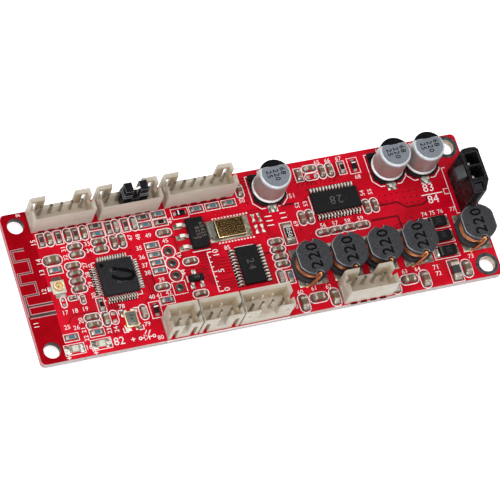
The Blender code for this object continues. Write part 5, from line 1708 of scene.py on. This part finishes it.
body = paint(moulded_body("diode_body", 3.6, 2.15, 0.12, 1.1, 0.12, 0.08), chip_black)
band = block("band", (-1.62, -0.96, 1.07), (-1.2, 0.96, 1.106))
round_edges(band, 0.015, 1)
paint(band, chip_mark)
for number in range(1, 4):
    node = f"diode_{number}"
    x, y = node_middle(node)
    parts = [copy_to(body, "body", x, y), copy_to(band, "band", x, y)]
    belong(join(parts, f"dressed_{node}"), "chip_moulding", node)
    marks = print_numbers("marks", [(f"{5 * number + 20}", x + 0.2, y, 0.95, 90.0)], latch_grey, 1.1, 0.006)
    marks.name = f"{node}_marks"
    belong(marks, "chip_moulding")
    feet = []
    for side in (-1, 1):
        low_x, high_x = sorted((x + side * 1.6, x + side * 2.3))
        foot = block("foot", (low_x, y - 0.75, 0.02), (high_x, y + 0.75, 0.42))
        pull_edge(foot, 0, x + side * 2.3, 0.42, 0.25)
        round_edges(foot, 0.06)
        feet += [paint(smooth(foot, 40), tin), bare_pad(x + side * 2.0, y, 1.15, 1.9, 0.05)]
    belong(join(feet, f"{node}_tabs"), "tinned_metal", node)
    frame_print = [(-2.7, 1.3), (2.45, 1.3), (2.45, -1.3), (-2.7, -1.3), (-2.7, 1.3)]
    open_routes.append([(x + a, y + b) for a, b in frame_print])
discard(body, band)
print("regulator, transistor and 3 diodes")

# %% [markdown]
# The brass block is a heat spreader on a wide tinned pad. Its top is mottled gold and black, and the
# edge faces of its bevel take a plain bright brass as a painted highlight. Rows of small printed
# squares run along both sides of the pad.

# %% The brass block
low, high = node_box("heat_block")
brass_block = block("dressed_heat_block", (low.x, low.y, 0.05), (high.x, high.y, high.z))
round_edges(brass_block, 0.11)
# The bevel faces take bright brass as a painted highlight.
mark_faces(brass_block, 1, lambda centre, normal: max(abs(value) for value in normal) < 0.97)
belong(paint(smooth(brass_block, 50), brass, brass_edge_highlight), "brass", "heat_block")
belong(join([bare_pad(42.65, 19.75, 8.5, 4.5, 0.03, pad_metal)], "heat_pad"), "tinned_metal")
squares = []
for row in (22.25, 17.15):
    for number in range(12):
        left = 39.9 + 0.63 * number
        squares.append(block("square", (left, row - 0.14, -0.01), (left + 0.34, row + 0.14, 0.02)))
belong(paint(join(squares, "printed_squares"), ink), "silkscreen")
bow_ties = []
for x in (48.0, 49.2):
    for y in (20.9, 18.6):
        tie = block("tie", (x - 0.42, y - 0.9, -0.01), (x + 0.42, y + 0.9, 0.06))
        pick(tie, "EDGE", lambda edge: along(edge, 1))
        bpy.ops.mesh.subdivide(number_cuts=1)
        leave_edit()
        waist = place(0, y).y
        pick(tie, "VERT", lambda point: abs(point.co.y - waist) < CLOSE)
        bpy.ops.transform.resize(value=(0.35, 1, 1), center_override=place(x, y))
        leave_edit()
        round_edges(tie, 0.03)
        bow_ties.append(paint(smooth(tie, 40), tin_painted_glints))
belong(join(bow_ties, "bow_tie_pads"), "tinned_metal")
print("brass block and", len(bow_ties), "split pads")

# %% [markdown]
# The crystal sits in a gold-plated boat with a grey metal lid and four pads. The boat and lid are
# rounded blocks, the lid inset from the boat's rim. The coaxial socket has a white base, a ring and a
# centre pin, both spun from profiles. The lamps have milky resin over a white base, and tan ends with
# a half-round notch over bright pads.

# %% Crystal, coaxial socket and lamps
x, y = node_middle("crystal")
boat = block("boat", (x - 1.25, y - 1.6, 0.08), (x + 1.25, y + 1.6, 0.62))
round_edges(boat, 0.12)
belong(paint(smooth(boat, 40), gold), "gold", "crystal")
lid = block("lid", (x - 1.02, y - 1.38, 0.58), (x + 1.02, y + 1.38, 0.75))
pick(lid, "EDGE", lambda edge: along(edge, 2))
bpy.ops.mesh.bevel(offset=0.25 * MM, segments=4)
leave_edit()
round_edges(lid, 0.05, 2, 0.9)
lid.name = "crystal_lid"
belong(paint(smooth(lid, 40), lid_grey), "can_metal", "crystal")
marks = print_numbers("crystal_marks", [("24.0", x, y, 0.75, 90.0)], chip_black, 0.75, 0.005)
belong(marks, "silkscreen")
pads = [bare_pad(x + a * 1.0, y + b * 1.5, 1.2, 1.3, 0.05, tin_painted_glints) for a in (-1, 1) for b in (-1, 1)]
belong(join(pads, "crystal_pads"), "tinned_metal")
open_routes += corner_routes(x, y, 3.9, 4.5, 0.9)

x, y = node_middle("coax_socket")
base = block("coax_base", (x - 1.3, y - 1.3, 0.08), (x + 1.3, y + 1.3, 0.35))
round_edges(base, 0.05)
belong(paint(smooth(base, 40), white_ceramic), "ceramic_brown", "coax_socket")
profile = [(0.72, 0.35), (0.72, 1.1), (0.76, 1.2), (0.86, 1.25), (0.96, 1.2), (1.0, 1.1), (0.95, 0.98)]
profile += [(0.95, 0.6), (1.0, 0.5), (1.0, 0.3), (0.72, 0.3), (0.72, 0.35)]
coax_ring = paint(spun("ring_template", profile, 40), gold)
profile = [(0, 0.3), (0.62, 0.3), (0.62, 0.42), (0.25, 0.46), (0.2, 0.55), (0.2, 1.0), (0.12, 1.1),
           (0, 1.12)]
core = paint(spun("core_template", profile, 24), gold)
parts = [copy_to(coax_ring, "ring", x, y), copy_to(core, "core", x, y)]
belong(join(parts, "coax_ring_and_pin"), "gold", "coax_socket")
discard(coax_ring, core)
pads = [bare_pad(x + 0.1, y + 1.75, 1.9, 0.8, 0.08, pad_painted_shade), bare_pad(x + 0.1, y - 1.65, 2.0, 1.0, 0.08)]
pads.append(bare_pad(x - 1.6, y, 0.9, 1.0, 0.08))
belong(join(pads, "coax_pads"), "tinned_metal")

for number in (1, 2):
    x, y = node_middle(f"lamp_{number}")
    top = node_box(f"lamp_{number}")[1].z
    base = paint(block("base", (x - 0.62, y - 0.6, 0.08), (x + 0.62, y + 0.6, 0.38)), white_ceramic)
    lens = block("lens", (x - 0.62, y - 0.6, 0.36), (x + 0.62, y + 0.6, top))
    pick(lens, "FACE", lambda face: face.normal.z > 0.9)
    bpy.ops.transform.resize(value=(0.84, 0.84, 1), center_override=place(x, y))
    leave_edit()
    round_edges(lens, 0.09, 3)
    paint(smooth(lens, 40), milky_resin)
    die = paint(block("die", (x - 0.2, y - 0.18, top - 0.02), (x + 0.2, y + 0.18, top + 0.008)), lamp_yellow)
    ends = []
    for side in (-1, 1):
        low_x, high_x = sorted((x + side * 0.6, x + side * 1.05))
        end = block("end", (low_x, y - 0.62, 0.04), (high_x, y + 0.62, 0.42))
        carve(end, [round_bar("tool", x + side * 1.07, y, -1, 1, 0.6, 24)])
        round_edges(end, 0.04, 2, 0.7)
        ends += [paint(smooth(end, 40), lamp_tan), bare_pad(x + side * 1.3, y, 1.1, 1.7, 0.1, tin_painted_glints)]
    belong(join([base, lens, die], f"dressed_lamp_{number}"), "lamp_resin", f"lamp_{number}")
    belong(join(ends, f"lamp_ends_{number}"), "tinned_metal")
    outline_routes.append(box_route(x, y, 3.9, 2.1))
print("crystal, coaxial socket and lamps")

# %% Shunt and suppressor
for node, height, body, film in (("shunt", 0.6, white_ceramic, film_black),
                                 ("suppressor", 0.9, film_grey, None)):
    x, y = node_middle(node)
    template = chip_part("template", 1.6, 3.2, height, body, 0.55, film)
    belong(copy_to(template, f"dressed_{node}", x, y), "resistor_black", node)
    discard(template)
    outline_routes.append(box_route(x, y, 2.45, 4.75))
x, y = node_middle("shunt")
belong(print_numbers("shunt_marks", [("050", x, y, 0.95, -90.0)], ink, 0.61, 0.006), "silkscreen")
print("shunt and suppressor")

# %% [markdown]
# The rest of the print names the parts. On this board the names are plain numbers, set beside the
# parts or turned to run along the board, and the marks for plus, minus and the lamp are drawn from
# strips as on any circuit diagram.

# %% Numbers beside the parts
print_places = [
    (1.1, 8.0, 90, 1.0), (4.35, 14.2, 90), (5.0, 18.0, 90, 1.0), (5.0, 20.2, 90, 1.0),
    (5.0, 24.2, 90, 1.0), (9.5, 1.75, 0, 1.0), (7.0, 9.3), (8.9, 9.3), (10.9, 9.3), (9.5, 7.2, 90),
    (9.5, 5.3, 90), (9.6, 3.6, 90), (14.2, 4.2, 90), (15.6, 4.2, 90), (6.6, 6.4), (8.3, 6.0),
    (13.3, 17.9, 90), (13.3, 15.9, 90), (13.3, 13.9, 90), (13.3, 11.6, 90), (10.2, 21.9, 90),
    (10.2, 20.1, 90), (14.9, 22.0), (14.9, 20.6), (24.4, 19.2), (24.4, 17.3), (24.5, 15.6),
    (24.6, 14.0), (26.8, 12.1), (24.0, 9.1), (25.5, 9.1), (27.4, 9.3), (31.6, 16.4, 90),
    (31.4, 12.8, 90), (29.8, 19.7), (31.9, 23.6, 90), (23.4, 21.7, 90), (24.9, 21.5, 90), (26.9, 21.4),
    (46.9, 24.9), (57.0, 24.0, 0, 1.0), (57.4, 21.9, 90), (59.1, 21.9, 90), (71.0, 21.9, 90),
    (72.6, 21.9, 90), (61.1, 16.8), (63.6, 16.8), (66.2, 16.8), (68.9, 16.8), (52.4, 4.3), (55.3, 4.5),
    (58.2, 4.3), (74.0, 4.3), (76.7, 4.3), (64.0, 29.9), (66.2, 29.9), (68.5, 29.9), (71.2, 25.4),
    (56.0, 18.2, 90), (50.5, 1.6), (80.5, 3.95, 0, 1.0), (80.6, 2.6), (88.2, 4.8), (81.8, 15.1),
    (83.5, 15.1), (85.2, 15.1), (87.8, 15.1), (17.8, 8.4), (21.6, 4.0), (23.3, 0.9), (28.7, 5.4),
    (15.4, 1.75, 0, 1.6), (84.5, 20.4, 0, 1.75), (84.7, 17.85, 0, 1.75), (41.2, 16.0),
    (3.6, 30.25, 0, 0.65),
]


def counted(order, x, y, turn=0, size=0.9):
    return str(order), x, y, size, turn


names = [counted(order, *spot) for order, spot in enumerate(print_places, start=11)]
belong(print_numbers("printed_numbers", names, ink), "silkscreen")
scale_routes = [[(37.0, 7.6), (37.0, 15.8)]]
for step in range(9):
    reach = 0.9 if step % 4 == 0 else 0.5
    scale_routes.append([(37.0, 7.6 + 1.025 * step), (37.0 + reach, 7.6 + 1.025 * step)])
scale_marks = [(mark, 38.7, y, 1.2, 90) for mark, y in (("0", 7.8), ("5", 11.7), ("10", 15.4))]
belong(print_numbers("scale_numbers", scale_marks, ink), "silkscreen")
print("printed numbers", len(print_places))

# %% Printed outlines and marks
open_routes += scale_routes
open_routes.append([(82.6, 19.05), (87.0, 19.05)])
open_routes.append([(89.2, 24.0), (88.5, 24.0), (88.5, 14.1), (89.2, 14.1)])
outline_routes.append(box_route(87.95, 19.05, 1.1, 1.1))
for x in (5.3, 10.5):
    open_routes += [[(x - 0.4, 0.45), (x + 0.4, 0.45)], [(x, 0.08), (x, 0.85)]]
open_routes += [[(17.7, 1.6), (18.5, 1.6)], [(18.1, 1.2), (18.1, 2.0)]]
outline_routes.append(pill_route(19.5, 1.5, 0.5, 0.55))
open_routes += [[(19.8, 1.5), (20.3, 1.5)], [(21.2, 2.05), (21.2, 0.95)], [(21.2, 1.5), (21.9, 1.5)]]
outline_routes.append([(20.3, 2.05), (20.3, 0.95), (21.15, 1.5)])
open_routes += [[(20.6, 2.2), (21.1, 2.9)], [(21.3, 2.1), (21.8, 2.8)]]
outline_routes.append(pill_route(22.2, 1.5, 0.5, 0.55))
for x, y in open_holes[1:]:
    outline_routes.append(arc(x, y, 1.3, 0, 352.5, 47))
outline_routes.append(box_route(*open_holes[0], 2.6, 2.6))
for x, y in ((54.0, 20.9), (54.0, 19.9)):
    open_routes.append([(x - 0.6, y), (x + 0.6, y)])
for y in (20.8, 19.85, 18.9):
    open_routes.append([(50.3, y), (51.7, y - 0.05)])
strips("printed_outlines", outline_routes, 0.18, 0.02, ink, "silkscreen", closed=True)
strips("printed_lines", open_routes, 0.2, 0.02, ink, "silkscreen")
print("printed outlines", len(outline_routes), "and lines", len(open_routes))

# %% [markdown]
# The board stands on its pin tails over a plain pale floor. The camera sees the floor and the world
# as near white. The object itself is lit at a plain level by four soft square lamps and a dim world:
# one high above for the gloss, one low in front and one on each side.


# %% Floor and light
def seen_by(tree, *rays):
    """1 for the kinds of ray that are named, and 0 for the others."""
    paths = tree.nodes.new("ShaderNodeLightPath")
    seen = paths.outputs[f"Is {rays[0]} Ray"]
    for ray in rays[1:]:
        either = math_node(tree.nodes, "MAXIMUM")
        tree.links.new(seen, either.inputs[0])
        tree.links.new(paths.outputs[f"Is {ray} Ray"], either.inputs[1])
        seen = either.outputs[0]
    return seen


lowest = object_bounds()[0][2]
clear_selection()
bpy.ops.mesh.primitive_plane_add(size=4, location=(0, 0, lowest))
floor = bpy.context.active_object
floor.name = "studio_floor"
floor_paint = bpy.data.materials.new("studio_floor")
floor_paint.use_nodes = True
nodes, link = floor_paint.node_tree.nodes, floor_paint.node_tree.links.new
shader = nodes["Principled BSDF"]
shader.inputs["Base Color"].default_value = (0.86, 0.86, 0.86, 1)
shader.inputs["Roughness"].default_value = 0.8
shader.inputs["Specular IOR Level"].default_value = 0.2
glow = nodes.new("ShaderNodeEmission")
glow.inputs["Color"].default_value = (1, 1, 1, 1)
level = math_node(nodes, "MULTIPLY")
level.inputs[1].default_value = 0.72
link(seen_by(floor_paint.node_tree, "Camera", "Glossy"), level.inputs[0])
link(level.outputs[0], glow.inputs["Strength"])
add = nodes.new("ShaderNodeAddShader")
link(shader.outputs["BSDF"], add.inputs[0])
link(glow.outputs["Emission"], add.inputs[1])
link(add.outputs["Shader"], nodes["Material Output"].inputs["Surface"])
floor.data.materials.append(floor_paint)


def direction(azimuth, elevation):
    """From the board to a place that many degrees round from the front and up from the floor."""
    turn, rise = math.radians(azimuth), math.radians(elevation)
    return Vector((math.sin(turn) * math.cos(rise), -math.cos(turn) * math.cos(rise), math.sin(rise)))


lamp_distance = 0.6


def area_lamp(name, size, power, azimuth, elevation):
    """A soft square lamp that looks at the board from the given direction."""
    way = direction(azimuth, elevation)
    data = bpy.data.lights.new(name, "AREA")
    data.shape = "SQUARE"
    data.size = size
    data.energy = power
    lamp = bpy.data.objects.new(name, data)
    bpy.context.scene.collection.objects.link(lamp)
    lamp.location = way * lamp_distance
    lamp.rotation_euler = (-way).to_track_quat("-Z", "Y").to_euler()


area_lamp("left_light", 0.35, 1.2, -100, 48)
area_lamp("front_light", 0.35, 1.25, -8, 32)
area_lamp("right_light", 0.3, 0.5, 85, 40)
area_lamp("top_light", 0.25, 0.85, -30, 82)
world = bpy.data.worlds.new("studio")
bpy.context.scene.world = world
world.use_nodes = True
nodes, link = world.node_tree.nodes, world.node_tree.links.new
strength = nodes.new("ShaderNodeMapRange")
strength.inputs["To Min"].default_value = 0.36
strength.inputs["To Max"].default_value = 1.0
link(seen_by(world.node_tree, "Camera", "Transmission", "Glossy"), strength.inputs["Value"])
link(strength.outputs["Result"], nodes["Background"].inputs["Strength"])
nodes["Background"].inputs["Color"].default_value = (1, 1, 1, 1)
bpy.context.scene.view_settings.view_transform = "Standard"
print("floor at", round(lowest / MM, 2), "mm")

# %% [markdown]
# The camera stands high on the board's left and front, far enough away for the flat view of a
# product picture, and it is rolled, so that the board runs up to the right.

# %% Camera
aim = Vector((-1.3503, -0.7261, 1.6)) * MM
distance = 553.96 * MM
away = direction(-42.883, 61.848)
camera_data = bpy.data.cameras.new("camera")
camera_data.lens = 210.3
camera_data.sensor_width = 36
camera_data.clip_start = 0.01
camera = bpy.data.objects.new("camera", camera_data)
bpy.context.scene.collection.objects.link(camera)
facing = (-away).to_track_quat("-Z", "Y").to_matrix().to_4x4()
roll = Matrix.Rotation(math.radians(28.458), 4, "Z")
camera.matrix_world = Matrix.Translation(aim + away * distance) @ facing @ roll
bpy.context.scene.camera = camera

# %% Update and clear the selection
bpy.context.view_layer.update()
clear_selection()
